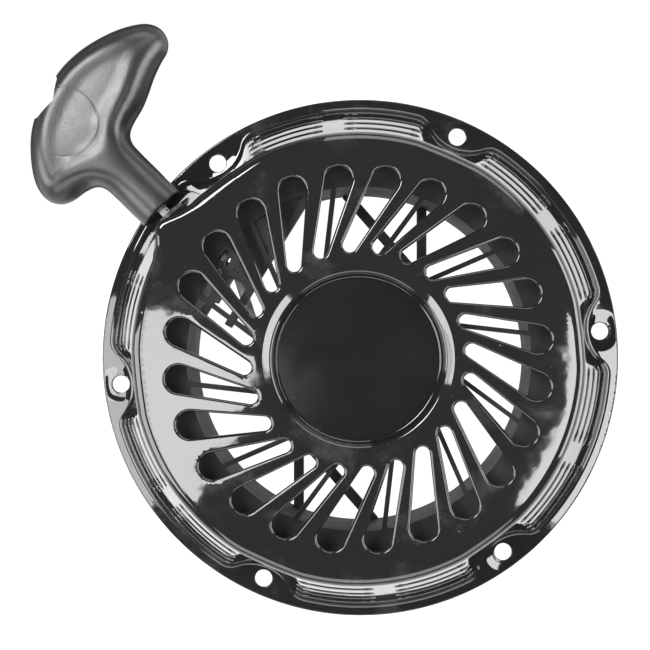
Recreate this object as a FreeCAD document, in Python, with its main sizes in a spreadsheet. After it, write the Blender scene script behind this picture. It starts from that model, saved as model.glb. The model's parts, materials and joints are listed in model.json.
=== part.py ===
"""Recoil starter of a 390 cc class small engine, as a FreeCAD 1.1 document.

The origin is the centre of the flange's back face. +Z points out of the cover's top, away from the
engine, and all sizes are in millimetres. The rope leaves the cover towards 135 degrees from +X.
"""

import FreeCAD, Part
import os
from math import acos, atan2, cos, degrees, pi, radians, sin, sqrt, tan

import Sketcher
from FreeCAD import Placement, Rotation, Vector

DOC = FreeCAD.newDocument("recoil_starter")
Z_AXIS = Vector(0, 0, 1)
ORIGIN = Vector(0, 0, 0)

# ---------------------------------------------------------------- driving dimensions

SIZES = {
    # cover: a stamped steel shell
    "steel": 1.6,
    "flange_radius": 121.0,
    "foot_radius": 116.5,
    "rim_radius": 96.0,
    "cover_height": 58.0,
    "rim_round": 5.0,
    "bolt_circle": 113.0,
    "bolt_hole_radius": 4.0,
    "first_bolt_angle": 6.3,
    "scallop_depth": 9.8,
    "scallop_round": 20.0,
    "shoulder_round": 8.0,
    "scallop_top": 53.0,
    "recess_radius": 42.4,
    "recess_floor_radius": 37.0,
    "recess_floor": 53.5,
    # the 24 slots of the cover's top
    "foot_round": 2.5,
    "slot_count": 24,
    "slot_outer_place": 76.8,
    "slot_outer_radius": 5.8,
    "slot_inner_place": 48.6,
    "slot_inner_radius": 3.0,
    "slot_twist": 13.0,
    "slot_edge_round": 0.9,
    # the slits of its wall
    "slit_height": 4.0,
    "slit_pitch": 12.0,
    "slit_first": 11.0,
    # centre disc, spindle bracket and spindle post
    "disc_radius": 34.3,
    "disc_thickness": 0.6,
    "bracket_radius": 36.0,
    "post_radius": 7.0,
    "post_hub_radius": 8.5,
    "post_step": 37.4,
    "post_end": 13.6,
    "screw_radius": 2.95,
    # air guide
    "guide_wall": 1.8,
    "guide_radius": 77.0,
    "guide_bottom": 4.0,
    "guide_top": 43.0,
    "blade_depth": 7.0,
    "blade_width": 2.0,
    "hub_ring_inner": 42.8,
    "hub_ring_outer": 46.6,
    "foot_ring_inner": 44.8,
    "foot_ring_outer": 49.0,
    "strut_depth": 4.0,
    "strut_width": 4.5,
    # rope
    "rope_radius": 2.25,
    "rope_level": 30.0,
    "rope_pitch": 4.7,
    "take_off_radius": 40.3,
    # reel
    "reel_radius": 44.0,
    "groove_width": 6.0,
    "reel_flange": 3.0,
    "groove_floor_radius": 19.0,
    "drum_radius": 36.8,
    "cavity_radius": 34.0,
    "cavity_floor": 37.2,
    "reel_top": 49.0,
    "housing_radius": 32.0,
    "housing_bottom": 14.6,
    "bush_radius": 9.5,
    "running_gap": 0.05,
    # recoil spring
    "spring_strip": 0.8,
    "spring_width": 9.0,
    "spring_pitch": 2.3,
    "spring_outer": 33.2,
    # ratchet
    "pawl_place": 21.0,
    "pawl_length": 22.0,
    "pawl_half_width": 3.5,
    "pawl_pin_radius": 2.4,
    "pawl_bottom": 15.4,
    "pawl_height": 5.6,
    "cam_pin_radius": 2.2,
    # nose of the cover, rope guide and grip, along the rope's line out of the cover
    "nose_bottom": 26.0,
    "rope_line_offset": -14.6,
    "rope_line_level": 41.0,
    "neck_radius": 9.0,
    "neck_end": 101.2,
    "bush_bore": 2.6,
    "stem_start": 106.6,
    "stem_radius": 10.75,
    "grip_thickness": 25.0,
    "knot_pocket_radius": 8.0,
}


def make_sheet():
    """The spreadsheet that holds every driving dimension under its alias."""
    sheet = DOC.addObject("Spreadsheet::Sheet", "size")
    for row, (alias, value) in enumerate(SIZES.items(), start=1):
        sheet.set(f"A{row}", alias)
        sheet.set(f"B{row}", str(value))
        sheet.setAlias(f"B{row}", alias)
    DOC.recompute()
    return sheet


SHEET = make_sheet()


def size(alias):
    """A driving dimension as the sheet holds it."""
    return float(getattr(SHEET, alias))


def polar(radius, angle, level=0.0):
    """The point at a radius and an angle in degrees from +X."""
    return Vector(radius * cos(radians(angle)), radius * sin(radians(angle)), level)


# ---------------------------------------------------------------- sketch and body helpers


def new_body(label):
    body = DOC.addObject("PartDesign::Body", label)
    body.Label = label
    return body


def origin_plane(body, role):
    return next(f for f in body.Origin.OriginFeatures if f.Role == role)


def new_sketch(body, name, role, level=None):
    """A sketch on one of the body's own planes, raised by an expression or a number."""
    sketch = body.newObject("Sketcher::SketchObject", name)
    sketch.AttachmentSupport = [(origin_plane(body, role), "")]
    sketch.MapMode = "FlatFace"
    if isinstance(level, str):
        sketch.setExpression("AttachmentOffset.Base.z", level)
    elif level is not None:
        sketch.AttachmentOffset = Placement(Vector(0, 0, level), Rotation())
    return sketch


def bind(sketch, kind, geometry, point, value):
    """Holds one coordinate of a point, bound to the sheet where value is an expression."""
    number = float(sketch.evalExpression(value)) if isinstance(value, str) else value
    index = sketch.addConstraint(Sketcher.Constraint(kind, geometry, point, number))
    if isinstance(value, str):
        sketch.setExpression(f"Constraints[{index}]", value)


def closed_outline(sketch, points):
    """A closed outline of straight edges. A text coordinate is an expression of the sheet."""
    def number(value):
        return float(sketch.evalExpression(value)) if isinstance(value, str) else value

    places = [Vector(number(x), number(y), 0) for x, y in points]
    first = None
    for i, (here, there) in enumerate(zip(places, places[1:] + places[:1])):
        line = sketch.addGeometry(Part.LineSegment(here, there), False)
        first = line if first is None else first
        if i:
            sketch.addConstraint(Sketcher.Constraint("Coincident", line - 1, 2, line, 1))
    sketch.addConstraint(Sketcher.Constraint("Coincident", first + len(places) - 1, 2, first, 1))
    for i, (x, y) in enumerate(points):
        bind(sketch, "DistanceX", first + i, 1, x)
        bind(sketch, "DistanceY", first + i, 1, y)
    return sketch


def circle(sketch, x, y, radius):
    """A circle whose centre and radius are numbers or expressions of the sheet."""
    def number(value):
        return float(sketch.evalExpression(value)) if isinstance(value, str) else value

    shape = Part.Circle(Vector(number(x), number(y), 0), Z_AXIS, number(radius))
    index = sketch.addGeometry(shape, False)
    held = sketch.addConstraint(Sketcher.Constraint("Radius", index, number(radius)))
    if isinstance(radius, str):
        sketch.setExpression(f"Constraints[{held}]", radius)
    bind(sketch, "DistanceX", index, 3, x)
    bind(sketch, "DistanceY", index, 3, y)
    return sketch


def pad(body, sketch, length, upward=True):
    """Pads a sketch along its plane's normal, or against it."""
    feature = body.newObject("PartDesign::Pad", sketch.Name + "_pad")
    feature.Profile = sketch
    if isinstance(length, str):
        feature.setExpression("Length", length)
    else:
        feature.Length = length
    feature.Reversed = not upward
    return feature


def pocket(body, sketch, length, upward=False):
    """Cuts a sketch out of the body, away from its plane's normal unless upward."""
    feature = body.newObject("PartDesign::Pocket", sketch.Name + "_pocket")
    feature.Profile = sketch
    if isinstance(length, str):
        feature.setExpression("Length", length)
    else:
        feature.Length = length
    feature.Reversed = upward
    return feature


def around_z(body, feature, count):
    """Repeats a feature evenly around the body's own Z axis."""
    pattern = body.newObject("PartDesign::PolarPattern", feature.Name + "_round")
    pattern.Originals = [feature]
    pattern.Axis = (origin_plane(body, "Z_Axis"), [""])
    pattern.Angle = 360
    pattern.Occurrences = count
    body.Tip = pattern
    return pattern


def turned(label, points):
    """A body turned about its own Z axis from a radius and height outline."""
    body = new_body(label)
    sketch = closed_outline(new_sketch(body, label + "_section", "XZ_Plane"), points)
    feature = body.newObject("PartDesign::Revolution", label + "_turned")
    feature.Profile = sketch
    feature.ReferenceAxis = (sketch, ["V_Axis"])
    feature.Angle = 360
    return body


def add_turned(body, name, points):
    """Adds one more turned ring to a body."""
    sketch = closed_outline(new_sketch(body, name, "XZ_Plane"), points)
    feature = body.newObject("PartDesign::Revolution", name + "_turned")
    feature.Profile = sketch
    feature.ReferenceAxis = (sketch, ["V_Axis"])
    feature.Angle = 360
    return feature


def shape_feature(label, shape, placement=None):
    """A sub-part whose shape comes from Part's own functions."""
    feature = DOC.addObject("Part::Feature", label)
    feature.Label = label
    feature.Shape = shape
    if placement is not None:
        feature.Placement = placement
    return feature


# ---------------------------------------------------------------- curve helpers


def closed_curve(points):
    """A smooth closed wire through points."""
    curve = Part.BSplineCurve()
    curve.interpolate(points, PeriodicFlag=True)
    return Part.Wire([curve.toShape()])


def face_of(points):
    """A flat face with straight sides."""
    return Part.Face(Part.makePolygon(points + points[:1]))


def rounded_path(points, radii):
    """Straight runs joined by tangent arcs, one radius for each inner point."""
    edges = []
    start = points[0]
    for before, corner, after, radius in zip(points, points[1:], points[2:], radii):
        into = (corner - before).normalize()
        away = (after - corner).normalize()
        turn = into.getAngle(away)
        reach = radius * tan(turn / 2)
        arc_start = corner - into * reach
        arc_end = corner + away * reach
        inward = (away - into).normalize()
        centre = corner + inward * (radius / cos(turn / 2))
        middle = centre - inward * radius
        edges.append(Part.LineSegment(start, arc_start).toShape())
        edges.append(Part.Arc(arc_start, middle, arc_end).toShape())
        start = arc_end
    edges.append(Part.LineSegment(start, points[-1]).toShape())
    return Part.Wire(edges)


def left_turns(start, heading, turns):
    """A flat chain of tangent arcs that all turn left, as (radius, angle in degrees) pairs."""
    edges = []
    for radius, angle in turns:
        centre = start + Vector(-heading.y, heading.x, 0) * radius
        spoke = start - centre
        half = Rotation(Z_AXIS, angle / 2).multVec(spoke)
        whole = Rotation(Z_AXIS, angle).multVec(spoke)
        edges.append(Part.Arc(start, centre + half, centre + whole).toShape())
        start = centre + whole
        heading = Rotation(Z_AXIS, angle).multVec(heading)
    return Part.Wire(edges), start, heading


def round_bar(path, radius):
    """A round bar swept along a wire, with its volume checked against its length."""
    start = path.Edges[0].valueAt(path.Edges[0].FirstParameter)
    heading = path.Edges[0].tangentAt(path.Edges[0].FirstParameter)
    section = Part.Wire([Part.makeCircle(radius, start, heading)])
    bar = path.makePipeShell([section], True, True)
    expected = pi * radius**2 * path.Length
    if abs(bar.Volume - expected) > 0.02 * expected:
        raise RuntimeError(f"a swept bar holds {bar.Volume:.0f} and should hold {expected:.0f}")
    return bar


# ---------------------------------------------------------------- cover


def wall_radius(level):
    """The cone of the cover's wall, without its scallops."""
    return size("foot_radius") + (size("rim_radius") - size("foot_radius")) * level / size("cover_height")


def arc_through(start, middle, end):
    return Part.Arc(start, middle, end).toShape()


def scalloped_outline(inset):
    """The wall's outline at the flange: round between the bolt holes, drawn in beside each of them."""
    foot = size("foot_radius") - inset
    shoulder = size("shoulder_round") - inset
    hollow = size("scallop_round") + inset
    hollow_place = size("foot_radius") - size("scallop_depth") + size("scallop_round")
    shoulder_place = foot - shoulder
    joined = hollow + shoulder
    turn = degrees(acos(
        (hollow_place**2 + shoulder_place**2 - joined**2) / (2 * hollow_place * shoulder_place)
    ))
    edges = []
    angles = []
    for k in range(BOLT_COUNT):
        middle = size("first_bolt_angle") + k * 60
        centre = polar(hollow_place, middle)
        sides = [polar(shoulder_place, middle + side * turn) for side in (-1, 1)]
        starts = [polar(foot, middle + side * turn) for side in (-1, 1)]
        meets = [centre + (side - centre).normalize() * hollow for side in sides]
        apex = polar(hollow_place - hollow, middle)
        bends = [
            side + ((start - side).normalize() + (meet - side).normalize()).normalize() * shoulder
            for side, start, meet in zip(sides, starts, meets)
        ]
        edges.append(arc_through(starts[0], bends[0], meets[0]))
        edges.append(arc_through(meets[0], apex, meets[1]))
        edges.append(arc_through(meets[1], bends[1], starts[1]))
        edges.append(arc_through(starts[1], polar(foot, middle + 30), polar(foot, middle + 60 - turn)))
        reach = degrees(atan2(meets[1].y, meets[1].x)) - middle
        reach = (reach + 180) % 360 - 180
        angles += [(middle - turn, middle - reach), (middle - reach, middle + reach)]
        angles += [(middle + reach, middle + turn), (middle + turn, middle + 60 - turn)]
    return Part.Wire(edges), angles


def round_outline(radius, level, angles):
    """A circle divided at the same angles as the scalloped outline."""
    return Part.Wire([
        arc_through(polar(radius, a, level), polar(radius, (a + b) / 2, level), polar(radius, b, level))
        for a, b in angles
    ])


def turned_solid(points):
    """A solid turned about Z from (radius, height) points, where a third value is an edge's rounding."""
    corners = [Vector(p[0], 0, p[1]) for p in points]
    rounds = [p[2] if len(p) > 2 else 0 for p in points]
    edges = []
    ends = []
    for i, corner in enumerate(corners):
        into = (corner - corners[i - 1]).normalize()
        away = (corners[(i + 1) % len(corners)] - corner).normalize()
        reach = rounds[i] * tan(into.getAngle(away) / 2)
        ends.append((corner - into * reach, corner + away * reach, corner, into, away, rounds[i]))
    for i, (arc_start, arc_end, corner, into, away, radius) in enumerate(ends):
        if radius:
            inward = (away - into).normalize()
            middle = corner + inward * (radius / cos(into.getAngle(away) / 2) - radius)
            edges.append(Part.Arc(arc_start, middle, arc_end).toShape())
        following = ends[(i + 1) % len(ends)][0]
        edges.append(Part.LineSegment(arc_end, following).toShape())
    return Part.Face(Part.Wire(edges)).revolve(ORIGIN, Z_AXIS, 360)


BOLT_COUNT = 6
ROPE_DIRECTION = 135.0
OUTWARD = polar(1, ROPE_DIRECTION)
ACROSS = polar(1, ROPE_DIRECTION - 90)


def on_rope_line(along, across=None, level=None):
    """A point by its distance out along the rope's line, across it, and its level."""
    across = size("rope_line_offset") if across is None else across
    level = size("rope_line_level") if level is None else level
    return OUTWARD * along + ACROSS * across + Vector(0, 0, level)


def cone_body(inset, top, rounding):
    """The cover's main form, or with an inset the hollow inside it."""
    split = size("scallop_top")
    outline, angles = scalloped_outline(inset)
    narrow = round_outline(wall_radius(split) - inset, split, angles)
    lower = Part.makeLoft([outline, narrow], True, True)
    rim = wall_radius(top) - inset
    upper = turned_solid([(0, split), (wall_radius(split) - inset, split), (rim, top, rounding), (0, top)])
    return lower.fuse(upper)


def recess_tool(deeper):
    """What the recessed centre takes out of the cover's form, moved down by the sheet's thickness inside."""
    top = size("cover_height") + 1
    floor = size("recess_floor") - deeper
    edge = size("cover_height") - deeper
    wide = size("recess_radius") + deeper * 0.4
    narrow = size("recess_floor_radius") + deeper * 0.4
    far = wide + 30
    dish = [(0, floor), (narrow, floor, 1.5), (wide, edge, 2.0)]
    return turned_solid(dish + [(far, edge), (far, top), (0, top)])


def nose_body(inset, top):
    """The nose that the rope leaves through: a pointed outline with slightly hollow sides."""
    left, tip, right = NOSE_OUTLINE
    inner = Vector(-55, 40, 0)
    shrink = Vector(0, 0, 0) if inset == 0 else (inner - tip).normalize() * inset * 1.25
    left, tip, right = left + shrink, tip + shrink, right + shrink
    hollow_left = (left + tip) * 0.5 + Vector(0.9, 0, 0)
    hollow_right = (right + tip) * 0.5 - Vector(0.4, 0.9, 0)
    outline = Part.Wire([
        Part.LineSegment(inner, left).toShape(),
        Part.Arc(left, hollow_left, tip).toShape(),
        Part.Arc(tip, hollow_right, right).toShape(),
        Part.LineSegment(right, inner).toShape(),
    ])
    bottom = size("nose_bottom") + inset
    solid = Part.Face(outline).extrude(Vector(0, 0, top - bottom))
    solid.translate(Vector(0, 0, bottom))
    corner = [e for e in solid.Edges if near_axis(e, tip)]
    solid = solid.makeFillet(NOSE_TIP_ROUND - inset, corner)
    upper = [e for e in solid.Edges if e.BoundBox.ZMin > top - 0.01]
    rims = [e for e in upper if e.CenterOfMass.distanceToPoint(inner) > 20]
    rims = [e for e in rims if (e.CenterOfMass - Vector(0, 0, top)).Length > 88]
    return solid.makeFillet(max(NOSE_RIM_ROUND - inset, 1.2), rims)


def near_axis(edge, place):
    """Whether an edge is the upright one at a place seen from above."""
    box = edge.BoundBox
    return box.ZLength > 5 and abs(box.Center.x - place.x) < 0.01 and abs(box.Center.y - place.y) < 0.01


NOSE_TIP_ROUND = 3.5
NOSE_RIM_ROUND = 3.0
NOSE_OUTLINE = (Vector(-85.2, 40.5, 0), Vector(-87.6, 58.6, 0), Vector(-67.0, 65.5, 0))


def neck_body(radius, end):
    """The drawn neck round the rope hole, along the rope's line."""
    return Part.makeCylinder(radius, end - NECK_ROOT, on_rope_line(NECK_ROOT), OUTWARD)


def spot_face(radius, start):
    """What the flat seat of the rope guide takes off the wall, out from where it starts."""
    return Part.makeCylinder(radius, 14, on_rope_line(start), OUTWARD)


SPOT_RADIUS = 9.6
NECK_ROOT = 82.0
ROPE_HOLE = 6.2


def teardrop(outer_centre, outer_radius, inner_centre, inner_radius):
    """A face bounded by two round ends and the straight lines that touch both."""
    line = inner_centre - outer_centre
    heading = line.normalize() if line.Length else line
    distance = (inner_centre - outer_centre).Length
    lean = degrees(acos((outer_radius - inner_radius) / distance))
    normals = [Rotation(Z_AXIS, turn).multVec(heading) for turn in (lean, -lean)]
    a, b = (outer_centre + n * outer_radius for n in normals)
    c, d = (inner_centre + n * inner_radius for n in normals)
    return Part.Face(Part.Wire([
        Part.Arc(b, outer_centre - heading * outer_radius, a).toShape(),
        Part.LineSegment(a, c).toShape(),
        Part.Arc(c, inner_centre + heading * inner_radius, d).toShape(),
        Part.LineSegment(d, b).toShape(),
    ]))


def top_slots():
    """Cutters of the slots in the cover's top."""
    cutters = []
    for i in range(int(size("slot_count"))):
        angle = size("first_bolt_angle") + i * 360 / size("slot_count")
        outline = teardrop(
            polar(size("slot_outer_place"), angle), size("slot_outer_radius"),
            polar(size("slot_inner_place"), angle + size("slot_twist")), size("slot_inner_radius"),
        )
        outline.translate(Vector(0, 0, size("cover_height") - 5))
        cutters.append(outline.extrude(Vector(0, 0, 8)))
    return cutters


SLIT_LEVELS = 4
SLIT_GROUPS = ((-20.0, -4.2), (4.2, 20.0))
ROPE_SIDE = (135.0, 154.0)


def wall_slits():
    """Cutters of the slits in the cover's wall: groups of four between the bolt holes, none at the nose."""
    cutters = []
    half = size("slit_height") / 2
    for sector in range(BOLT_COUNT):
        middle = size("first_bolt_angle") + (sector + 0.5) * 360 / BOLT_COUNT
        for start, end in ((middle + a, middle + b) for a, b in SLIT_GROUPS):
            if ROPE_SIDE[0] < (start + end) / 2 < ROPE_SIDE[1]:
                continue
            for k in range(SLIT_LEVELS):
                level = size("slit_first") + k * size("slit_pitch")
                inner = wall_radius(level) - 8
                cutters.append(ring_sector(inner, inner + 16, level - half, level + half, start, end))
                for angle in (start, end):
                    cutters.append(Part.makeCylinder(half, 16, polar(inner, angle, level), polar(1, angle)))
    return cutters


def ring_sector(inner, outer, bottom, top, start, end):
    """A square ring's stretch between two angles."""
    corners = [Vector(r, 0, z) for r, z in ((inner, bottom), (outer, bottom), (outer, top), (inner, top))]
    section = face_of(corners)
    section.rotate(ORIGIN, Z_AXIS, start)
    return section.revolve(ORIGIN, Z_AXIS, end - start)


def make_cover():
    """The stamped steel cover: flange, scalloped wall, slotted top, recessed centre and rope nose."""
    steel = size("steel")
    slant = steel * 1.06
    top = size("cover_height")
    neck = size("neck_radius")
    outside = cone_body(0, top, size("rim_round")).fuse([nose_body(0, top), neck_body(neck, size("neck_end"))])
    outside = outside.fuse(Part.makeCylinder(size("flange_radius"), steel))
    outside = outside.makeFillet(size("foot_round"), [e for e in outside.Edges if on_foot(e, steel)])
    outside = outside.cut([recess_tool(0), spot_face(SPOT_RADIUS, size("neck_end"))])
    hollows = [nose_body(steel, top - steel), neck_body(neck - steel, size("neck_end") - steel)]
    inside = cone_body(slant, top - steel, size("rim_round") - steel).fuse(hollows)
    inside = inside.cut([recess_tool(steel), spot_face(SPOT_RADIUS + steel, size("neck_end") - steel)])
    shell = outside.cut(inside).cut(top_slots())
    shell = shell.makeFillet(size("slot_edge_round"), [e for e in shell.Edges if on_slot(e, top)])
    holes = [
        Part.makeCylinder(size("bolt_hole_radius"), 3 * steel, polar(size("bolt_circle"), a, -steel))
        for a in (size("first_bolt_angle") + 60 * i for i in range(BOLT_COUNT))
    ]
    mouth = Part.makeCylinder(ROPE_HOLE, 12, on_rope_line(size("neck_end") - 8), OUTWARD)
    return shape_feature("cover", shell.cut(holes + [mouth] + wall_slits()))


def on_foot(edge, level):
    """Whether an edge is where the wall meets the flange's upper face."""
    box = edge.BoundBox
    flat = abs(box.ZMin - level) < 0.01 and abs(box.ZMax - level) < 0.01
    return flat and all(v.Point.distanceToPoint(Vector(0, 0, level)) < 118 for v in edge.Vertexes)


def on_slot(edge, level):
    """Whether an edge of the top face bounds a slot."""
    distance = edge.CenterOfMass.distanceToPoint(Vector(0, 0, level))
    return edge.BoundBox.ZMin > level - 0.01 and 45 < distance < 85 and edge.Length < 45


def make_centre_disc():
    """The blank round plate in the recess, stood on the recess floor."""
    disc = DOC.addObject("Part::Cylinder", "centre_disc")
    disc.setExpression("Radius", "size.disc_radius")
    disc.setExpression("Height", "size.disc_thickness")
    disc.setExpression("Placement.Base.z", "size.recess_floor")
    return disc


# ---------------------------------------------------------------- spindle


def make_spindle_bracket():
    """The formed plate welded under the recess, with a raised rim round the reel's top."""
    under = "(size.recess_floor - size.steel)"
    return turned("spindle_bracket", [
        (0, f"{under} - size.steel"), ("size.bracket_radius", f"{under} - size.steel"),
        ("size.bracket_radius + 1", f"{under} - size.steel + 1"),
        ("size.bracket_radius + 1", under), (0, under),
    ])


def make_spindle_post():
    """The stepped post the reel turns on, with the slot that holds the recoil spring's inner hook."""
    top = "size.recess_floor - 2 * size.steel"
    body = turned("spindle_post", [
        ("size.screw_radius", "size.post_end"), ("size.post_radius", "size.post_end"),
        ("size.post_radius", "size.post_step"), ("size.post_hub_radius", "size.post_step"),
        ("size.post_hub_radius", top), ("size.screw_radius", top),
    ])
    slot = new_sketch(body, "hook_slot", "XY_Plane", "size.cavity_floor + 0.4")
    closed_outline(slot, [(4.4, -0.8), (12, -0.8), (12, 0.8), (4.4, 0.8)])
    pocket(body, slot, "size.spring_width + 0.6", upward=True)
    return body


# ---------------------------------------------------------------- air guide


BLADE_COUNT = 12
BLADE_START = 8.3
BLADE_TWIST = 11.2


def bar_outline(start, end, width):
    """The four corners of a straight bar seen from above."""
    side = Vector(-(end - start).y, (end - start).x, 0).normalize() * (width / 2)
    return [(p.x, p.y) for p in (start + side, start - side, end - side, end + side)]


def add_bars(body, name, bars, level, depth, around=1):
    """Pads straight bars up from a level, and repeats them round Z."""
    for i, (start, end, width) in enumerate(bars):
        sketch = new_sketch(body, f"{name}_{i}", "XY_Plane", level)
        closed_outline(sketch, bar_outline(start, end, width))
        feature = pad(body, sketch, depth)
        if around > 1:
            around_z(body, feature, around)


def make_air_guide():
    """The plastic insert: skirt, top plate, hub ring, slanted blades, foot ring on struts, and rope ladder."""
    wall = "size.guide_wall"
    top = "size.guide_top"
    skirt = size("guide_radius") - size("guide_wall") / 2
    body = turned("air_guide_form", [
        (f"size.guide_radius - {wall}", "size.guide_bottom"), ("size.guide_radius", "size.guide_bottom"),
        ("size.guide_radius", f"{top} - {wall}"), (PLATE_RADIUS, f"{top} - {wall}"),
        (PLATE_RADIUS, top), (f"size.guide_radius - {wall}", top),
    ])
    blade = bar_blade()
    level = "size.guide_top - size.blade_depth"
    add_bars(body, "blade", [blade], level, "size.blade_depth", BLADE_COUNT)
    add_turned(body, "hub_ring", [
        ("size.hub_ring_inner", "size.guide_top - 5"), ("size.hub_ring_outer", "size.guide_top - 5"),
        ("size.hub_ring_outer", top), ("size.hub_ring_inner", top),
    ])
    struts = [(STRUT_APEX, end, size("strut_width")) for end in STRUT_ENDS]
    add_bars(body, "strut", struts, "size.guide_bottom", "size.strut_depth", 2)
    add_turned(body, "foot_ring", [
        ("size.foot_ring_inner", "size.guide_bottom"), ("size.foot_ring_outer", "size.guide_bottom"),
        ("size.foot_ring_outer", "size.guide_bottom + size.strut_depth"),
        ("size.foot_ring_inner", "size.guide_bottom + size.strut_depth"),
    ])
    add_web(body, skirt)
    facing = polar(1, LADDER_NORMAL)
    seat = Part.makeCylinder(EYELET_RADIUS + 0.02, 12, EYELET - facing * 6, facing)
    way = Part.makeCylinder(ROPE_WAY_RADIUS, 60, EYELET, (ROPE_BEND - EYELET).normalize())
    channel = shape_feature("rope_channel", seat.fuse([way, rope_channel()]))
    cut = DOC.addObject("Part::Cut", "air_guide")
    cut.Base = body
    cut.Tool = channel
    return cut


PLATE_RADIUS = 97.0
STRUT_APEX = Vector(28.5, 35.5, 0)
STRUT_ENDS = (Vector(28.5, 70.8, 0), Vector(-6.5, 75.6, 0))


def bar_blade():
    """One blade as a bar from the skirt to the hub ring."""
    start = polar(size("guide_radius") - 1, BLADE_START)
    end = polar(size("hub_ring_inner") + 1.5, BLADE_START + BLADE_TWIST)
    return start, end, size("blade_width")


# the ladder's bars lie across the rope's way in, at these distances from the centre
LADDER_NORMAL = 148.7
LADDER_PLACES = (56.4, 68.6)


def across_ladder(place, along):
    """A point on one of the ladder's bars, along it from the foot of its normal."""
    return polar(place, LADDER_NORMAL) + polar(along, LADDER_NORMAL + 90)


def add_web(body, skirt):
    """The solid web beside the rope, the ladder's bars and the wall that holds the rope's eyelet."""
    inner, outer = LADDER_PLACES
    corner = across_ladder(inner, -1.0)
    web = new_sketch(body, "web", "XY_Plane", "size.guide_top - 5")
    rim = [polar(skirt, a) for a in (106, 113, 120, 127, 134, 139)]
    closed_outline(web, [(p.x, p.y) for p in rim + [corner]])
    pad(body, web, 3.2)
    edge = [(rim[0], corner, 3.0), (rim[-1], corner, 2.6)]
    add_bars(body, "web_edge", edge, "size.guide_top - 5", "5")
    bars = [
        (across_ladder(inner, -3), across_ladder(inner, 17.5), 3.2),
        (across_ladder(outer, -11), across_ladder(outer, 20), 3.2),
        (polar(55, 146), polar(skirt, 146), 2.6),
    ]
    add_bars(body, "ladder", bars, "size.guide_top - 6", "6")
    wall = [(across_ladder(outer, -12.5), across_ladder(outer, 12), 3.2)]
    add_bars(body, "eyelet_wall", wall, "size.rope_level - 7", "size.guide_top - size.rope_level + 7")


def rope_channel():
    """Room for the rope through the air guide's plate, up from its slanting run."""
    run = ROPE_BEND - EYELET
    middle = EYELET + run * 0.5
    box = Part.makeBox(26, 14.6, 14, Vector(0, -7.3, 0))
    box.rotate(ORIGIN, Z_AXIS, degrees(atan2(run.y, run.x)))
    box.translate(Vector(middle.x, middle.y, size("guide_top") - 6) + Vector(run.x, run.y, 0).normalize() * 3)
    return box


# ---------------------------------------------------------------- rope


TAKE_OFF_ANGLE = 197.8
ROPE_BEND = on_rope_line(91.5)
TAKE_OFF = polar(size("take_off_radius"), TAKE_OFF_ANGLE, size("rope_level"))
TAKE_OFF_HEADING = polar(1, TAKE_OFF_ANGLE + 90)
EYELET = TAKE_OFF - TAKE_OFF_HEADING * 57.6
WOUND_HALF_TURNS = 9
EYELET_RADIUS = 6.7
EYELET_WALL = 2.4
EYELET_HALF_LENGTH = 2.6
ROPE_WAY_RADIUS = 4.4


def make_rope_guide():
    """The hard bush in the neck: a flange outside and a mouth that spares the rope inside."""
    body = turned("rope_guide", [
        ("size.bush_bore", -7.6), (ROPE_HOLE - 0.1, -7.6), (ROPE_HOLE - 0.1, 0), (7.9, 0), (7.9, 1.8),
        ("size.bush_bore + 2.2", 1.8), ("size.bush_bore", 0),
    ])
    body.Placement = Placement(on_rope_line(size("neck_end")), Rotation(Z_AXIS, OUTWARD))
    return body


def make_rope_eyelet():
    """The round ferrule that turns the rope towards the reel."""
    inner = EYELET_RADIUS - EYELET_WALL
    half = EYELET_HALF_LENGTH
    edge = 1.1
    ring = turned_solid([
        (inner, -half, edge), (EYELET_RADIUS, -half, edge), (EYELET_RADIUS, half, edge), (inner, half, edge),
    ])
    return shape_feature("rope_eyelet", ring, Placement(EYELET, Rotation(Z_AXIS, polar(1, LADDER_NORMAL))))


def make_rope():
    """The rope in three stretches: out to the grip, in to the reel, and wound on it."""
    knot_face = size("stem_start") + KNOT_SEAT + WASHER_THICKNESS
    outer = Part.makeCylinder(size("rope_radius"), knot_face - ROPE_JOIN, on_rope_line(ROPE_JOIN), OUTWARD)
    run = rounded_path([on_rope_line(ROPE_JOIN), ROPE_BEND, EYELET, TAKE_OFF], ROPE_BEND_RADII)
    inner = round_bar(run, size("rope_radius"))
    turns = [(size("take_off_radius") - i * size("rope_pitch") / 2, 180) for i in range(WOUND_HALF_TURNS)]
    wound, end, heading = left_turns(TAKE_OFF, TAKE_OFF_HEADING, turns + [(REEL_KNOT_BEND, REEL_KNOT_TURN)])
    length = knot_face - ROPE_JOIN + run.Length + wound.Length
    print(f"rope length {length:.0f}, of which wound {wound.Length:.0f}")
    return [
        shape_feature("rope_outer", outer),
        shape_feature("rope_inner", inner),
        shape_feature("rope_wound", round_bar(wound, size("rope_radius"))),
    ], end + heading * REEL_KNOT_RADIUS


ROPE_JOIN = 98.0
ROPE_BEND_RADII = (14.0, 9.0)
WASHER_THICKNESS = 1.5
KNOT_SEAT = 50.0
REEL_KNOT_BEND = 5.0
REEL_KNOT_TURN = 70
REEL_KNOT_RADIUS = 2.8
GRIP_KNOT_RADIUS = 4.4


def knot(label, place, axis, radius):
    """A tight overhand knot: a ball with one turn of rope round it."""
    ball = Part.makeSphere(radius, place)
    turn = Part.makeTorus(radius * 0.62, radius * 0.5, place, axis)
    return shape_feature(label, ball.fuse(turn))


# ---------------------------------------------------------------- reel


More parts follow.
